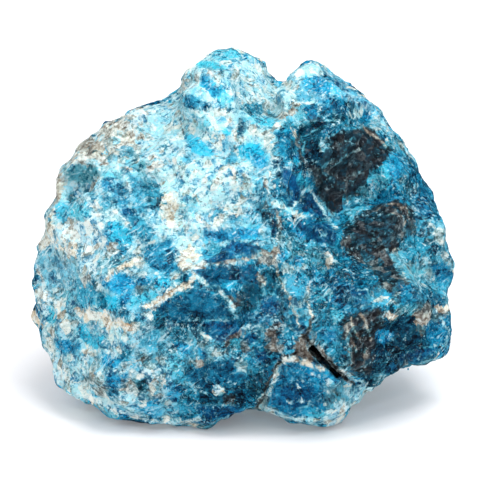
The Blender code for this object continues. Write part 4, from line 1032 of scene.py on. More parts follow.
# %% Seams of the dark side
SEAMS += [
    ("inknavy", 0.95, 0.46, (7.6, 14.4), (7.7, 12.3), (8.1, 11.1), (9.1, 10.1)),
    ("sandbrown", 0.8, 0.43, (14.4, 16), (16.3, 16), (17.7, 15.1), (18.9, 14), (20.3, 12.6)),
    ("mist", 0.45, 0.17, (12.4, 9.9), (14, 11), (15.4, 11.9), (16.6, 12.3)),
    ("mist", 0.4, 0.17, (13.3, 12.9), (14.6, 13.7), (15.7, 13.9)),
    ("mist", 0.6, 0.2, (8, 14.3), (9.7, 14.6), (11.4, 15.6), (13.1, 16)),
    ("mist", 0.35, 0.17, (14.3, 7.7), (15.4, 8.6), (16.9, 8.9)),
    ("mist", 0.5, 0.19, (10.3, 9.4), (11.7, 10), (12.9, 11.1)),
    ("ice", 0.9, 0.37, (8.9, 7.1), (9.7, 6), (10.9, 4.6), (12, 2.9), (13.1, 0.9)),
    ("ice", 0.9, 0.49, (3.4, 5.7), (5.1, 4.3), (7.1, 3.4), (8.9, 2.7)),
    ("mist", 0.9, 0.43, (7.4, 4.6), (8.3, 5.7), (8.9, 6.9)),
    ("sand", 0.8, 0.26, (6.6, 4.4), (7.4, 3.1), (7.1, 1.7)),
    ("sky", 0.8, 0.19, (8.9, 2), (9.7, 1.3)),
    ("sand", 0.7, 0.17, (10.6, 1.1), (11.3, 0.4)),
    ("ice", 0.8, 0.19, (10.7, 0), (11.4, 0.4)),
    ("sky", 0.7, 0.26, (6, -0.9), (8, -2), (10.3, -3.7)),
    ("sky", 0.6, 0.23, (7.4, -0.6), (9.7, -2), (12, -3.7)),
    ("sand", 0.7, 0.23, (19, 3.4), (20, 4.4), (21.4, 4.6), (22.9, 4), (23.6, 2.9), (22.9, 1.7)),
    ("sand", 0.5, 0.19, (20.3, 3.1), (21.4, 3.4), (22.6, 2.9)),
    ("sand", 0.6, 0.23, (21.1, -2.3), (22, -1.9), (22.9, -2.3)),
    ("brown", 0.7, 0.29, (20, -7.4), (21.4, -7.7), (22.6, -7.4)),
]
print(len(SEAMS), "seams so far")

# %% [markdown]
# ## Seams of the foot
#
# Sand runs down beside the lower hollow, the chunk has its pale rim, and the outer edges of the
# stone are bruised white. Small white dashes on the chunk are painted glints.

# %% Seams of the foot
SEAMS += [
    ("sand", 0.55, 0.31, (15.4, -11.7), (15.7, -13.4), (16.9, -15.4), (17.4, -17.4)),
    ("sand", 0.45, 0.26, (14.4, -12.3), (15.1, -14.3), (16, -16.3)),
    ("sand", 0.7, 0.26, (16.6, -11.1), (17.4, -12.9), (18.3, -14.9)),
    ("mist", 0.5, 0.2, (14.6, -14), (15.1, -16.3), (15.7, -18.3)),
    ("sand", 0.8, 0.29, (9.4, -7), (9.1, -9.1), (9.6, -11.7)),
    ("ice", 0.98, 0.54, (2.9, -24.1), (3.4, -22.6), (4, -21), (4.7, -19.1), (5.7, -17.7)),
    ("cream", 0.98, 0.71, (5.7, -17.7), (6.9, -17.6), (8.3, -17.9), (9.7, -18.4), (11.1, -19)),
    ("ice", 0.9, 0.6, (2.6, -24.3), (4.9, -25.6), (8, -26.4), (11.1, -26.4), (13.4, -25.4)),
    ("ice", 0.8, 0.31, (14.4, -19.7), (15.7, -20.6), (17.7, -21.1)),
    ("soil", 0.9, 0.51, (3.7, -13.7), (4.6, -12.9), (5.6, -12.6)),
    ("ice", 0.5, 0.34, (28, -12), (29.1, -13.4), (28.9, -15.4), (27.4, -16.6)),
    ("ice", 0.6, 0.34, (22, 13.7), (24, 11.4), (26, 9.4), (27.1, 6.9)),
    ("mist", 0.6, 0.37, (26.9, 2.9), (27.4, 0.6), (28.3, -1.1)),
    ("cream", 0.6, 0.34, (-25.4, 16), (-21.1, 17.7)),
    # Painted glints: small white dashes on the chunk's clear face
    ("white", 0.95, 0.31, (7.6, -21), (7.9, -21.6)),
    ("white", 0.9, 0.26, (8.1, -23.4), (8.3, -23.7)),
    ("white", 0.95, 0.29, (11.9, -20.6), (12, -21.1)),
    ("white", 0.9, 0.29, (12.4, -20.6), (12.6, -21)),
    ("white", 0.9, 0.26, (6.3, -23.6), (6.6, -23.9)),
    ("white", 0.95, 0.31, (9.7, -19.6), (10.6, -20)),
    ("white", 0.85, 0.26, (6.7, -19.1), (7.1, -20)),
    ("white", 0.85, 0.26, (11.6, -22), (11.9, -22.3)),
    # Painted shade: nearly black lines draw the cracks around the chunk
    ("pit", 1, 0.43, (9.4, -12.1), (9.3, -13.3), (8.7, -14.4)),
    ("pit", 1, 0.51, (5.6, -17.1), (6.4, -17), (7.3, -16.7)),
    ("pit", 1, 0.43, (5.3, -17.4), (4.3, -19), (3.4, -20.6), (2.7, -22.3)),
    ("pit", 1, 0.66, (8.6, -14.3), (9.1, -15), (9.7, -15.7)),
    ("pit", 1, 0.74, (9.6, -15.6), (10.1, -16.3), (10.9, -17.1)),
    ("pit", 1, 1.09, (10.9, -17.1), (11.9, -17.9), (13, -18.9)),
    ("pit", 1, 0.74, (12.7, -18.7), (13.6, -19.3), (14.3, -20)),
    ("pit", 1, 0.6, (14, -19.9), (14.7, -20.6), (15.4, -21.1)),
]
print(len(SEAMS), "seams so far")

# %% [markdown]
# ## Blocking in
#
# The rows are laid on in order, large grounds first and small faces over them. A speckled patch
# follows the small grains, so its border breaks up crystal by crystal, while a clean face keeps its
# own straight edges.

# %% Paint the stone
# Width over which a face fades out, and of the pale rim (bruise and painted highlight) round a clean one, in mm
PATCH_EDGE = 0.3
BRUISE_AND_HIGHLIGHT_RIM = 0.22


def paint(places, normals):
    """Light, chalkiness and cleanness of each place."""
    facing = np.clip((normals @ np.array(to_viewer) + 0.05) / 0.2, 0, 1)
    colour, chalk, clean = natural_colouring(places, 1 - facing)
    broken = warped(places, 2.6 * MM, 0.15 * MM, 81)
    _, grain_middle, _ = grains(broken, 1.0 * MM, 90)
    loose_right, loose_up = seen_from_camera(grain_middle + (places - broken) * 0.5)
    neat_right, neat_up = seen_from_camera(broken)
    ragged_right, ragged_up = seen_from_camera(warped(broken, 0.9 * MM, 0.3 * MM, 84))
    whole = np.clip(0.75 + 1.1 * cloudy_noise(places, 1.3 * MM, 87), 0, 1)

    def lay_on(cover, name, flatness):
        colour[:] += (light_of(name) - colour) * cover[:, None]
        chalk[:] += (CHALKY.get(name, 0.15) - chalk) * cover
        clean[:] += (flatness - clean) * cover

    # Where a clean face gets its pale rim: bruising and a painted highlight along its edge
    bruise_and_highlight_here = np.clip(2.2 * cloudy_noise(places, 2.4 * MM, 89) + 0.3, 0, 1) * facing
    for name, cover, flatness, *corners in PATCHES:
        loose = np.clip(0.5 + inside_by(loose_right, loose_up, corners) / PATCH_EDGE, 0, 1)
        from_edge = inside_by(neat_right, neat_up, corners)
        neat = np.clip(0.5 + from_edge / PATCH_EDGE, 0, 1)
        lay_on((loose + (neat - loose) * flatness) * cover * facing, name, flatness)
        if flatness >= 0.5:
            # Pale rim along a clean face: partly bruising, partly painted highlight
            bruise_and_highlight_rim = np.clip(1 - abs(from_edge) / BRUISE_AND_HIGHLIGHT_RIM, 0, 1) * bruise_and_highlight_here
            colour += (light_of("mist") - colour) * (bruise_and_highlight_rim * 0.7 * cover)[:, None]
    for name, cover, width, *corners in SEAMS:
        # Painted crack shade is laid on whole, not broken up
        unbroken = 1 if name == "pit" else whole
        lay_on(seam_cover(ragged_right, ragged_up, width, corners) * cover * unbroken * facing, name, 0.0)
    return colour, chalk, clean


def facets_of(thing):
    """Middle and normal of each facet."""
    middles = np.empty(len(thing.data.polygons) * 3)
    thing.data.polygons.foreach_get("center", middles)
    directions = np.empty(len(thing.data.polygons) * 3)
    thing.data.polygons.foreach_get("normal", directions)
    return middles.reshape(-1, 3), directions.reshape(-1, 3)


def keep_number(name, values, domain):
    attribute = stone.data.attributes.new(name, "FLOAT", domain)
    attribute.data.foreach_set("value", values.astype(np.float32))


def keep_colour(name, values, domain):
    attribute = stone.data.attributes.new(name, "FLOAT_COLOR", domain)
    solid = np.concatenate([values, np.ones((len(values), 1))], axis=1)
    attribute.data.foreach_set("color", solid.astype(np.float32).reshape(-1))


# %% [markdown]
# ## One colour to a facet, and a finer one to a point
#
# Crystals end abruptly, so each facet takes one colour of its own. Later the points take the same
# paint more finely, and the material mixes the two: sharp steps from facet to facet, and soft changes
# inside each. Each facet also keeps a random number, for being a little deeper or paler.

# %% Paint the facets
middles, directions = facets_of(stone)
facet_colour, facet_chalk, facet_clean = paint(middles, directions)
keep_colour("facet colour", facet_colour, "FACE")
keep_number("chalk", facet_chalk, "FACE")
keep_number("clean", facet_clean, "FACE")
keep_number("facet chance", np.random.default_rng(5).random(len(middles)), "FACE")
print("painted", len(middles), "facets")

# %% [markdown]
# ## Finer triangles where the camera looks
#
# Paint on points can be no finer than the points. So every edge that is too long is split, which adds
# points without moving any. Only the showy side needs short edges, and that keeps the stone under two
# hundred thousand triangles.

# %% Split the long edges
# Longest edges that stay whole, in mm
LONGEST_SEEN = 0.36
LONGEST_ELSEWHERE = 0.9



def split_long_edges(thing):
    points = points_of(thing)
    towards = normals_of(thing) @ np.array(to_viewer)
    ends = np.empty(len(thing.data.edges) * 2, np.int32)
    thing.data.edges.foreach_get("vertices", ends)
    start, end = ends[0::2], ends[1::2]
    length = np.linalg.norm(points[start] - points[end], axis=1)
    longest = np.where(towards[start] + towards[end] > 0.1, LONGEST_SEEN, LONGEST_ELSEWHERE) * MM
    select_only(thing)
    bpy.ops.object.mode_set(mode="EDIT")
    bpy.ops.mesh.select_mode(type="EDGE")
    bpy.ops.mesh.select_all(action="DESELECT")
    bpy.ops.object.mode_set(mode="OBJECT")
    thing.data.edges.foreach_set("select", length > longest)
    bpy.ops.object.mode_set(mode="EDIT")
    bpy.ops.mesh.subdivide()
    bpy.ops.mesh.quads_convert_to_tris()
    bpy.ops.object.mode_set(mode="OBJECT")


split_long_edges(stone)
print("split into", len(stone.data.polygons), "triangles,", len(stone.data.vertices), "points")
colour, _, clean = paint(points_of(stone), normals_of(stone))
print("mean light:", colour.mean(axis=0).round(2))

# %% [markdown]
# ## Edges and corners
#
# Where two faces meet in a ridge the crystal is made pale: partly bruising, partly a painted highlight
# where the edge catches light. In the folds between them the colour is darkened as painted shade.
# Comparing each point with the middle of its neighbours tells a ridge from a fold.


# %% Pale ridges with painted highlight, and painted shade in the folds
def ridge_of(thing):
    """How far each point stands out from its neighbours, in tenths of a millimetre, below 0 in a fold."""
    ends = np.empty(len(thing.data.edges) * 2, np.int32)
    thing.data.edges.foreach_get("vertices", ends)
    ends = ends.reshape(-1, 2)
    points = points_of(thing)
    total = np.zeros_like(points)
    count = np.zeros(len(points))
    for start, end in ((0, 1), (1, 0)):
        np.add.at(total, ends[:, start], points[ends[:, end]])
        np.add.at(count, ends[:, start], 1)
    return ((points - total / count[:, None]) * normals_of(thing)).sum(axis=1) / MM * 10


ridge = ridge_of(stone)
print("ridge and fold, tenths of a mm:", np.percentile(ridge, [2, 25, 75, 98]).round(2))
# Ridges turn pale, partly bruising and partly a painted highlight; folds get painted shade
ridge_bruise_and_highlight = np.clip((ridge - 0.3) / 0.8, 0, 1) * 0.4
fold_shade = np.clip((-ridge - 0.3) / 0.8, 0, 1) * 0.5
ridge_bruise_and_highlight *= 1 - 0.6 * clean
# Painted highlight with bruising on the ridges, then painted shade in the folds
colour += (light_of("ice") - colour) * ridge_bruise_and_highlight[:, None]
colour *= 1 - fold_shade[:, None] * np.array([0.9, 0.8, 0.7])


keep_colour("colour", colour, "POINT")

# %% [markdown]
# ## Nodes for the crystal
#
# The points are a third of a millimetre apart, and the eye sees finer than that. What lies between
# them is the material's work. A material in Blender is a web of nodes, which can be joined by hand in
# the Shader Editor. Here a short helper makes each kind of node, so that every later step reads as
# one line, and the same step can be used for several patterns.


# %% Node helpers
def material(name):
    made = bpy.data.materials.new(name)
    made.use_nodes = True
    return made, made.node_tree, made.node_tree.nodes["Principled BSDF"]


def node(tree, kind, **settings):
    made = tree.nodes.new(kind)
    for name, value in settings.items():
        setattr(made, name, value)
    return made


def link(tree, start, end):
    tree.links.new(start, end)


def maths(tree, operation, first, second=None, third=None):
    made = node(tree, "ShaderNodeMath", operation=operation)
    for socket, value in zip(made.inputs, (first, second, third)):
        if isinstance(value, (int, float)):
            socket.default_value = value
        elif value is not None:
            link(tree, value, socket)
    return made.outputs[0]


def vector_maths(tree, operation, first, second):
    made = node(tree, "ShaderNodeVectorMath", operation=operation)
    for socket, value in zip(made.inputs, (first, second)):
        if isinstance(value, tuple):
            socket.default_value = value
        else:
            link(tree, value, socket)
    return made


def attribute(tree, name):
    return node(tree, "ShaderNodeAttribute", attribute_name=name)


crystal, tree, surface = material("blue apatite")
print(crystal.name, "starts with", len(tree.nodes), "nodes")


# %% Colour and pattern helpers
def spread(tree, value, low, high, to_low, to_high):
    """Maps a value from one range to another, and stops at the ends."""
    made = node(tree, "ShaderNodeMapRange")
    link(tree, value, made.inputs["Value"])
    for name, number in zip(("From Min", "From Max", "To Min", "To Max"), (low, high, to_low, to_high)):
        made.inputs[name].default_value = number
    return made.outputs["Result"]


def product(*values):
    total = values[0]
    for value in values[1:]:
        total = maths(tree, "MULTIPLY", total, value)
    return total


def centred(value):
    return maths(tree, "SUBTRACT", value, 0.5)


def noise(tree, where, size_mm, detail=3.0):
    made = node(tree, "ShaderNodeTexNoise")
    made.inputs["Scale"].default_value = 1 / (size_mm * MM)
    made.inputs["Detail"].default_value = detail
    link(tree, where, made.inputs["Vector"])
    return made


def mixed_colour(tree, share, first, second, blend="MIX"):
    """The first colour, with the given share of the second over it."""
    made = node(tree, "ShaderNodeMix", data_type="RGBA", blend_type=blend)
    for socket, value in zip((made.inputs[0], made.inputs[6], made.inputs[7]), (share, first, second)):
        if isinstance(value, (float, tuple)):
            socket.default_value = value
        else:
            link(tree, value, socket)
    return made.outputs[2]


# Every pattern is read at the stone's own coordinates, so that it sits in the stone on all sides
place = node(tree, "ShaderNodeTexCoord").outputs["Object"]
print("patterns are read at", place.name, "coordinates")

# %% [markdown]
# ## What the paint says
#
# The material starts from the numbers painted on the mesh. Half of the colour comes from the points
# and half from the facets. Chalkiness and cleanness steer everything that follows, so that a dusty
# seam, a mixed crust and one clear face don't look alike.

# %% Painted values
painted = mixed_colour(
    tree, 0.5, attribute(tree, "colour").outputs["Color"], attribute(tree, "facet colour").outputs["Color"]
)
chalkiness = attribute(tree, "chalk").outputs["Fac"]
cleanness = attribute(tree, "clean").outputs["Fac"]
facet_chance = attribute(tree, "facet chance").outputs["Fac"]
# 1 where the crystals are small and mixed, less on a clean face
speckled = maths(tree, "SUBTRACT", 1.0, maths(tree, "MULTIPLY", cleanness, 0.55))
print("the material reads", sum(part.type == "ATTRIBUTE" for part in tree.nodes), "painted layers")

# %% [markdown]
# ## Small crystals
#
# A Voronoi texture cuts space into cells, and each cell has a random colour: three free numbers for
# one crystal. Two of them tell crystals apart, and all three together make a direction. A plane that
# leans that way gives the crystal a shade from one side to the other. The places are bent a little
# by noise first, because real borders are never quite straight.

# %% Small crystals
SHARD_MM = 2.7
BIG_MM = 1.1
SMALL_MM = 0.42
BEND = 0.0004

wobble = noise(tree, place, 1.1, 3.0)
shift = vector_maths(tree, "SUBTRACT", wobble.outputs["Color"], (0.5, 0.5, 0.5)).outputs[0]
shift = vector_maths(tree, "MULTIPLY", shift, (BEND, BEND, BEND)).outputs[0]
bent = vector_maths(tree, "ADD", place, shift).outputs[0]


def crystals(size_mm):
    """Little crystals: three random numbers and the slope of a plane that leans its own way, for each one."""
    found = node(tree, "ShaderNodeTexVoronoi", feature="F1")
    found.inputs["Scale"].default_value = 1 / (size_mm * MM)
    link(tree, bent, found.inputs["Vector"])
    chances = node(tree, "ShaderNodeSeparateColor")
    link(tree, found.outputs["Color"], chances.inputs[0])
    own_way = vector_maths(tree, "SUBTRACT", found.outputs["Color"], (0.5, 0.5, 0.5)).outputs[0]
    from_middle = vector_maths(tree, "SUBTRACT", bent, found.outputs["Position"]).outputs[0]
    slope = vector_maths(tree, "DOT_PRODUCT", own_way, from_middle).outputs["Value"]
    return chances.outputs, slope, own_way


shard, shard_slope, shard_way = crystals(SHARD_MM)
big, big_slope, _ = crystals(BIG_MM)
small, small_slope, _ = crystals(SMALL_MM)
print("crystals of", SHARD_MM, BIG_MM, "and", SMALL_MM, "mm")

# %% [markdown]
# ## Splinters
#
# Apatite breaks into fine steps and splinters that all run one way within a crystal. Noise gives them
# when space is squeezed along one direction: its blobs are then drawn out into streaks. The direction
# is each shard's own, so the streaks turn from shard to shard. A slow noise keeps them to some places.

# %% Splinters
SQUEEZE = 0.75

unit = node(tree, "ShaderNodeVectorMath", operation="NORMALIZE")
link(tree, shard_way, unit.inputs[0])
shard_way = unit.outputs[0]
along = vector_maths(tree, "DOT_PRODUCT", bent, shard_way).outputs["Value"]
drawn_out = vector_maths(tree, "MULTIPLY", shard_way, maths(tree, "MULTIPLY", along, SQUEEZE)).outputs[0]
drawn_out = vector_maths(tree, "SUBTRACT", bent, drawn_out).outputs[0]
splinters = centred(noise(tree, drawn_out, 0.36, 4.0).outputs["Fac"])
splinter_gate = spread(tree, noise(tree, place, 3.0, 3.0).outputs["Fac"], 0.44, 0.58, 0.1, 1.0)
print("splinters are drawn out", round(1 / (1 - SQUEEZE)), "times")

# %% [markdown]
# ## Long streaks
#
# Besides the splinters, long streaks run through many crystals at once, all along the main growth
# axis of the lump: from the lower left to the upper right of the showy side. They are made in the same way, with
# one direction for the whole stone.

# %% Long streaks
AXIS = (picture_right * 0.80 + picture_up * 0.60).normalized()
STREAK_SQUEEZE = 0.86

axis_way = tuple(AXIS)
along_axis = vector_maths(tree, "DOT_PRODUCT", bent, axis_way).outputs["Value"]
squeezed = maths(tree, "MULTIPLY", along_axis, STREAK_SQUEEZE)
axis_part = node(tree, "ShaderNodeVectorMath", operation="SCALE")
axis_part.inputs[0].default_value = axis_way
link(tree, squeezed, axis_part.inputs["Scale"])
streaked = vector_maths(tree, "SUBTRACT", bent, axis_part.outputs[0]).outputs[0]
streaks = centred(noise(tree, streaked, 0.42, 4.0).outputs["Fac"])
streak_gate = spread(tree, noise(tree, place, 4.5, 3.0).outputs["Fac"], 0.42, 0.58, 0.0, 1.0)
print("streaks run along", [round(part, 2) for part in axis_way])

# %% [markdown]
# ## A mosaic in the pale places
#
# Seen closely, no pale place on the stone is one colour: white, blue and rusty grains lie side by
# side, and the eye adds them up. So the painted colour is only the ground there. Some cells turn
# white, some azure and a few dark and rusty. Deep clear places hold hardly any of these. How pale a
# place is can be read from the red in its paint, since blue crystal has next to none.

# %% Mosaic
AZURE_GRAIN = (0.06, 0.38, 0.58, 1.0)
WHITE_GRAIN = (0.78, 0.90, 0.90, 1.0)
RUSTY_GRAIN = (0.20, 0.15, 0.11, 1.0)
DUST = (0.84, 0.80, 0.68, 1.0)

glassy = spread(tree, maths(tree, "MULTIPLY_ADD", centred(big[2]), 0.7, chalkiness), 0.5, 0.62, 1.0, 0.0)
painted_light = node(tree, "ShaderNodeSeparateColor")
link(tree, painted, painted_light.inputs[0])
pale_place = product(spread(tree, painted_light.outputs["Red"], 0.04, 0.30, 0.0, 1.0), speckled)
some_place = product(spread(tree, painted_light.outputs["Green"], 0.01, 0.3, 0.1, 1.0), speckled)
# Nearly black paint, such as the painted crack shade, gets no pale grains or white marks
some_place = product(spread(tree, painted_light.outputs["Green"], 0.001, 0.006, 0.0, 1.0), some_place)

azure_cells = product(spread(tree, big[1], 0.70, 0.72, 0.0, 0.6), pale_place, glassy)
white_cells = product(spread(tree, small[1], 0.66, 0.68, 0.0, 0.7), pale_place)
rusty_cells = product(spread(tree, small[2], 0.94, 0.945, 0.0, 0.6), pale_place)
dust = product(maths(tree, "SUBTRACT", 1.0, glassy), pale_place, noise(tree, place, 1.6, 3.0).outputs["Fac"])
dust = maths(tree, "MULTIPLY", dust, 0.45)
shade = painted
mosaic = [(azure_cells, AZURE_GRAIN), (white_cells, WHITE_GRAIN), (rusty_cells, RUSTY_GRAIN), (dust, DUST)]
for share, tint in mosaic:
    shade = mixed_colour(tree, share, shade, tint)
print("with the mosaic", len(tree.nodes), "nodes")

# %% [markdown]
# ## Deeper and paler crystals
#
# Every crystal is a little deeper or paler than the next, because it is thicker or thinner and turned
# another way. All the patterns vote on it: the facet, the cells of each size, fine noise and
# splinters, each with its own weight. The votes also include the slope of each plane, which shades a
# crystal from one side to the other.

# %% Depth of each crystal
facet_normal = node(tree, "ShaderNodeNewGeometry").outputs["True Normal"]
directions_in_cells = node(tree, "ShaderNodeTexVoronoi")
directions_in_cells.inputs["Scale"].default_value = 3.0
link(tree, facet_normal, directions_in_cells.inputs["Vector"])
facet_random = node(tree, "ShaderNodeSeparateColor")
link(tree, directions_in_cells.outputs["Color"], facet_random.inputs[0])
fine_noise = centred(noise(tree, bent, 0.20, 3.0).outputs["Fac"])


def votes(tally, weights):
    for vote, weight in weights:
        tally = maths(tree, "MULTIPLY_ADD", vote, weight, tally)
    return tally


small_votes = [
    (centred(facet_random.outputs[0]), 0.6), (centred(facet_chance), 0.6), (centred(big[0]), 0.85),
    (centred(small[0]), 0.95), (fine_noise, 3.2), (product(splinters, splinter_gate), -3.0),
    (product(streaks, streak_gate), -3.6),
]
wide_votes = [(centred(shard[0]), 0.35), (shard_slope, 600.0), (big_slope, 1200.0)]
softened_by_dust = spread(tree, chalkiness, 0.6, 1.0, 1.0, 0.65)
depth = votes(product(votes(0.0, small_votes), speckled, softened_by_dust), wide_votes)
print(len(small_votes) + len(wide_votes), "patterns decide how deep a crystal is")

# %% [markdown]
# ## Deep and pale tints
#
# Depth must not simply darken the colour. Deep crystal swallows red first and goes to ink blue, while
# dusty crust goes to brown. Pale crystal goes to vivid azure where the ground is blue, and to milky
# white where it is pale. So each end of the scale has its own tints, picked by the place.

# %% Deep and pale tints
clear_deep = mixed_colour(tree, pale_place, (0.03, 0.13, 0.20, 1.0), (0.08, 0.35, 0.51, 1.0))
deep_tint = mixed_colour(tree, glassy, (0.38, 0.33, 0.28, 1.0), clear_deep)
deeper = mixed_colour(tree, 1.0, shade, deep_tint, "MULTIPLY")
shade = mixed_colour(tree, spread(tree, depth, 0.0, 1.0, 0.0, 1.0), shade, deeper)
clear_pale = mixed_colour(tree, pale_place, (0.06, 0.50, 0.74, 1.0), (0.40, 0.80, 0.90, 1.0))
pale_tint = mixed_colour(tree, glassy, (0.84, 0.86, 0.78, 1.0), clear_pale)
lighter = mixed_colour(tree, 1.0, shade, (1.6, 2.0, 1.8, 1.0), "MULTIPLY")
lighter = mixed_colour(tree, some_place, lighter, pale_tint)
shade = mixed_colour(tree, spread(tree, depth, -1.0, 0.0, 0.8, 0.0), shade, lighter)
print("with the tints", len(tree.nodes), "nodes")

# %% [markdown]
# ## White breaks and painted glints
#
# Wherever apatite is bruised it turns white, since light can't pass the tiny cracks. The white of the
# streaks, splinters, ragged blots and fine specks is partly such bruising and partly painted glints,
# the light that tiny facets mirror; the hairlines are cracks. Each is a noise cut off near its top, or
# near its middle for the hairlines, where the cut becomes a thin winding line.

# %% White breaks and painted glints
streak_bruise_and_glint = product(spread(tree, streaks, 0.10, 0.16, 0.0, 0.9), streak_gate, some_place)
splinter_bruise_and_glint = spread(tree, splinters, 0.11, 0.17, 0.0, 1.0)
splinter_bruise_and_glint_share = product(splinter_bruise_and_glint, splinter_gate, maths(tree, "MULTIPLY_ADD", some_place, 0.9, 0.05))
crack_noise = centred(noise(tree, place, 1.9, 3.0).outputs["Fac"])
hairlines = spread(tree, maths(tree, "ABSOLUTE", crack_noise), 0.004, 0.016, 1.0, 0.0)
hairline_gate = spread(tree, noise(tree, place, 1.3, 2.0).outputs["Fac"], 0.5, 0.56, 0.0, 0.6)
clusters = spread(tree, noise(tree, place, 2.6, 2.0).outputs["Fac"], 0.46, 0.60, 0.0, 1.0)
blot_bruise_and_glint = spread(tree, noise(tree, bent, 0.55, 5.0).outputs["Fac"], 0.58, 0.65, 0.0, 0.8)
speck_bruise_and_glint = spread(tree, fine_noise, 0.16, 0.20, 0.0, 0.7)

# Painted glints mixed with bruising: streaks, splinters, blots and specks; the hairlines are cracks
shade = mixed_colour(tree, streak_bruise_and_glint, shade, (0.66, 0.84, 0.88, 1.0))
shade = mixed_colour(tree, splinter_bruise_and_glint_share, shade, (0.66, 0.84, 0.88, 1.0))
shade = mixed_colour(tree, product(hairlines, hairline_gate, some_place), shade, (0.55, 0.72, 0.76, 1.0))
shade = mixed_colour(tree, product(blot_bruise_and_glint, clusters, speckled), shade, (0.42, 0.62, 0.68, 1.0))
shade = mixed_colour(tree, product(speck_bruise_and_glint, clusters, speckled), shade, (0.66, 0.86, 0.90, 1.0))
print("with the white breaks", len(tree.nodes), "nodes")

# %% [markdown]
# ## Blue depth and gloss
#
# The last step on the colour takes red out of whatever is both dark and glassy, as a thick clear
# crystal does. Gloss follows chalkiness: fresh crystal is nearly as smooth as glass, and dusty
# seams are dull. Apatite bends light by 1.63, which sets how strongly it mirrors.

# %% Blue depth and gloss
APATITE_IOR = 1.63

grey = node(tree, "ShaderNodeRGBToBW")
link(tree, shade, grey.inputs[0])
blue_share = product(spread(tree, grey.outputs[0], 0.04, 0.5, 1.0, 0.0), glassy)
bluer = mixed_colour(tree, 1.0, shade, (0.14, 0.92, 1.08, 1.0), "MULTIPLY")
shade = mixed_colour(tree, blue_share, shade, bluer)
link(tree, shade, surface.inputs["Base Color"])
link(tree, spread(tree, chalkiness, 0.1, 0.9, 0.12, 0.85), surface.inputs["Roughness"])
surface.inputs["IOR"].default_value = APATITE_IOR
surface.inputs["Specular IOR Level"].default_value = 0.5
print("crystal bends light by", APATITE_IOR)

# %% [markdown]
# ## Crystals that catch the light alone
#
# The same leaning planes go into a Bump node, so that each little crystal mirrors its own part of the
# studio. That is what makes the stone glitter when it is turned. Splinters add their fine steps.

# %% Leaning crystals
height = maths(tree, "MULTIPLY", big_slope, 0.45)
height = maths(tree, "MULTIPLY_ADD", small_slope, 0.5, height)
height = maths(tree, "MULTIPLY_ADD", product(splinters, splinter_gate), 0.00012, height)
bump = node(tree, "ShaderNodeBump")
bump.inputs["Strength"].default_value = 1.0
bump.inputs["Distance"].default_value = 1.0
link(tree, height, bump.inputs["Height"])
link(tree, bump.outputs["Normal"], surface.inputs["Normal"])

stone.data.materials.clear()
stone.data.materials.append(crystal)
print("crystal material has", len(tree.nodes), "nodes")

# %% [markdown]
# ## The sheet of paper
#
# The stone lies on white paper, which is a plain plane with a dull white material. Two things are
# done as in a studio. The paper glows a little, so that it stays white around the shadow. And in the
# stone's gloss it shows dark, as if a black card lay in front, because a white floor mirrored in
# every facet would lay a grey veil over the blue.

# %% Floor
PAPER_GLOW = 0.14
CARD_GLOW = 0.03

bpy.ops.object.select_all(action="DESELECT")
bpy.ops.mesh.primitive_plane_add(size=4)
floor = bpy.context.view_layer.objects.active
floor.name = "floor"
paper, paper_tree, paper_surface = material("white paper")
paper_surface.inputs["Base Color"].default_value = (0.85, 0.84, 0.86, 1)
paper_surface.inputs["Roughness"].default_value = 1.0
paper_surface.inputs["Specular IOR Level"].default_value = 0.0
paper_surface.inputs["Emission Color"].default_value = (1, 1, 1, 1)
paper_surface.inputs["Emission Strength"].default_value = PAPER_GLOW
card = node(paper_tree, "ShaderNodeEmission")
card.inputs["Strength"].default_value = CARD_GLOW
seen_as = node(paper_tree, "ShaderNodeMixShader")
link(paper_tree, node(paper_tree, "ShaderNodeLightPath").outputs["Is Glossy Ray"], seen_as.inputs[0])
link(paper_tree, paper_surface.outputs[0], seen_as.inputs[1])
link(paper_tree, card.outputs[0], seen_as.inputs[2])
link(paper_tree, seen_as.outputs[0], paper_tree.nodes["Material Output"].inputs["Surface"])
floor.data.materials.append(paper)
print("floor of", [round(side, 1) for side in floor.dimensions[:2]], "m")

# %% [markdown]
# ## A bright, even studio
#
# A white room gives most of the light. Its mirror image would wash out the blue, so glossy rays see a
# much darker room, again as with black cards. A second background and a Light Path node do that.

# %% Studio
ROOM_LIGHT = 0.86
ROOM_IN_MIRROR = 0.035

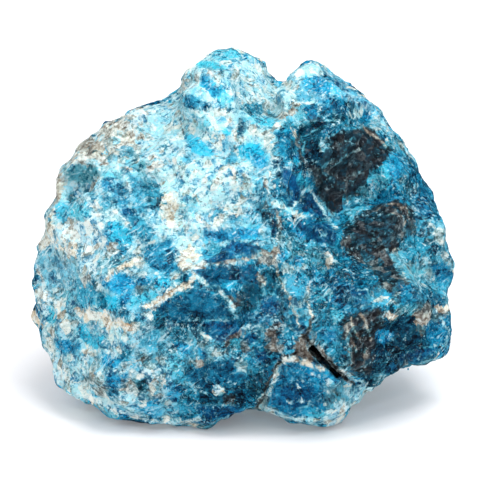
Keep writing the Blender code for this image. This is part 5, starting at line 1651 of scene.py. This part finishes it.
world = bpy.data.worlds.new("studio")
bpy.context.scene.world = world
world.use_nodes = True
studio = world.node_tree
room = studio.nodes["Background"]
dark_room = node(studio, "ShaderNodeBackground")
for backdrop, strength in ((room, ROOM_LIGHT), (dark_room, ROOM_IN_MIRROR)):
    backdrop.inputs["Color"].default_value = (1, 1, 1, 1)
    backdrop.inputs["Strength"].default_value = strength
rays = node(studio, "ShaderNodeLightPath")
both = node(studio, "ShaderNodeMixShader")
link(studio, rays.outputs["Is Glossy Ray"], both.inputs[0])
link(studio, room.outputs[0], both.inputs[1])
link(studio, dark_room.outputs[0], both.inputs[2])
link(studio, both.outputs[0], studio.nodes["World Output"].inputs["Surface"])
print("room light", ROOM_LIGHT, "and in the gloss", ROOM_IN_MIRROR)

# %% [markdown]
# ## Lamps
#
# One soft lamp hangs almost straight above and gives the stone its wide, soft shadow. It stays out of
# the gloss. Five small lamps hang around it. They add hardly any light, but each is mirrored in the
# crystals that happen to lean the right way, and those are the glints.

# %% Lamps
# Right, back and up, in metres
SPARKLES = [
    (-0.30, -0.30, 0.45), (-0.12, -0.40, 0.46), (0.02, -0.20, 0.60), (0.16, -0.42, 0.42), (0.30, -0.30, 0.42),
]
STONE_MIDDLE = Vector((0, 0, 0.02))


def soft_light(name, where, width, strength, in_gloss):
    light = bpy.data.lights.new(name, "AREA")
    light.size = width
    light.energy = strength
    lamp = bpy.data.objects.new(name, light)
    bpy.context.scene.collection.objects.link(lamp)
    lamp.visible_glossy = in_gloss
    lamp.location = where
    lamp.rotation_euler = (STONE_MIDDLE - Vector(where)).to_track_quat("-Z", "Y").to_euler()


soft_light("key", (0.13, -0.08, 0.58), 0.34, 2.4, False)
for number, where in enumerate(SPARKLES):
    soft_light("sparkle " + str(number + 1), where, 0.05, 0.12, True)
bpy.context.scene.view_settings.view_transform = "Standard"
print(1 + len(SPARKLES), "lamps")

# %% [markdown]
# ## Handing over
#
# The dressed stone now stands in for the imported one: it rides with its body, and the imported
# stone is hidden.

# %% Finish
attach(stone, "root")
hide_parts("apatite")
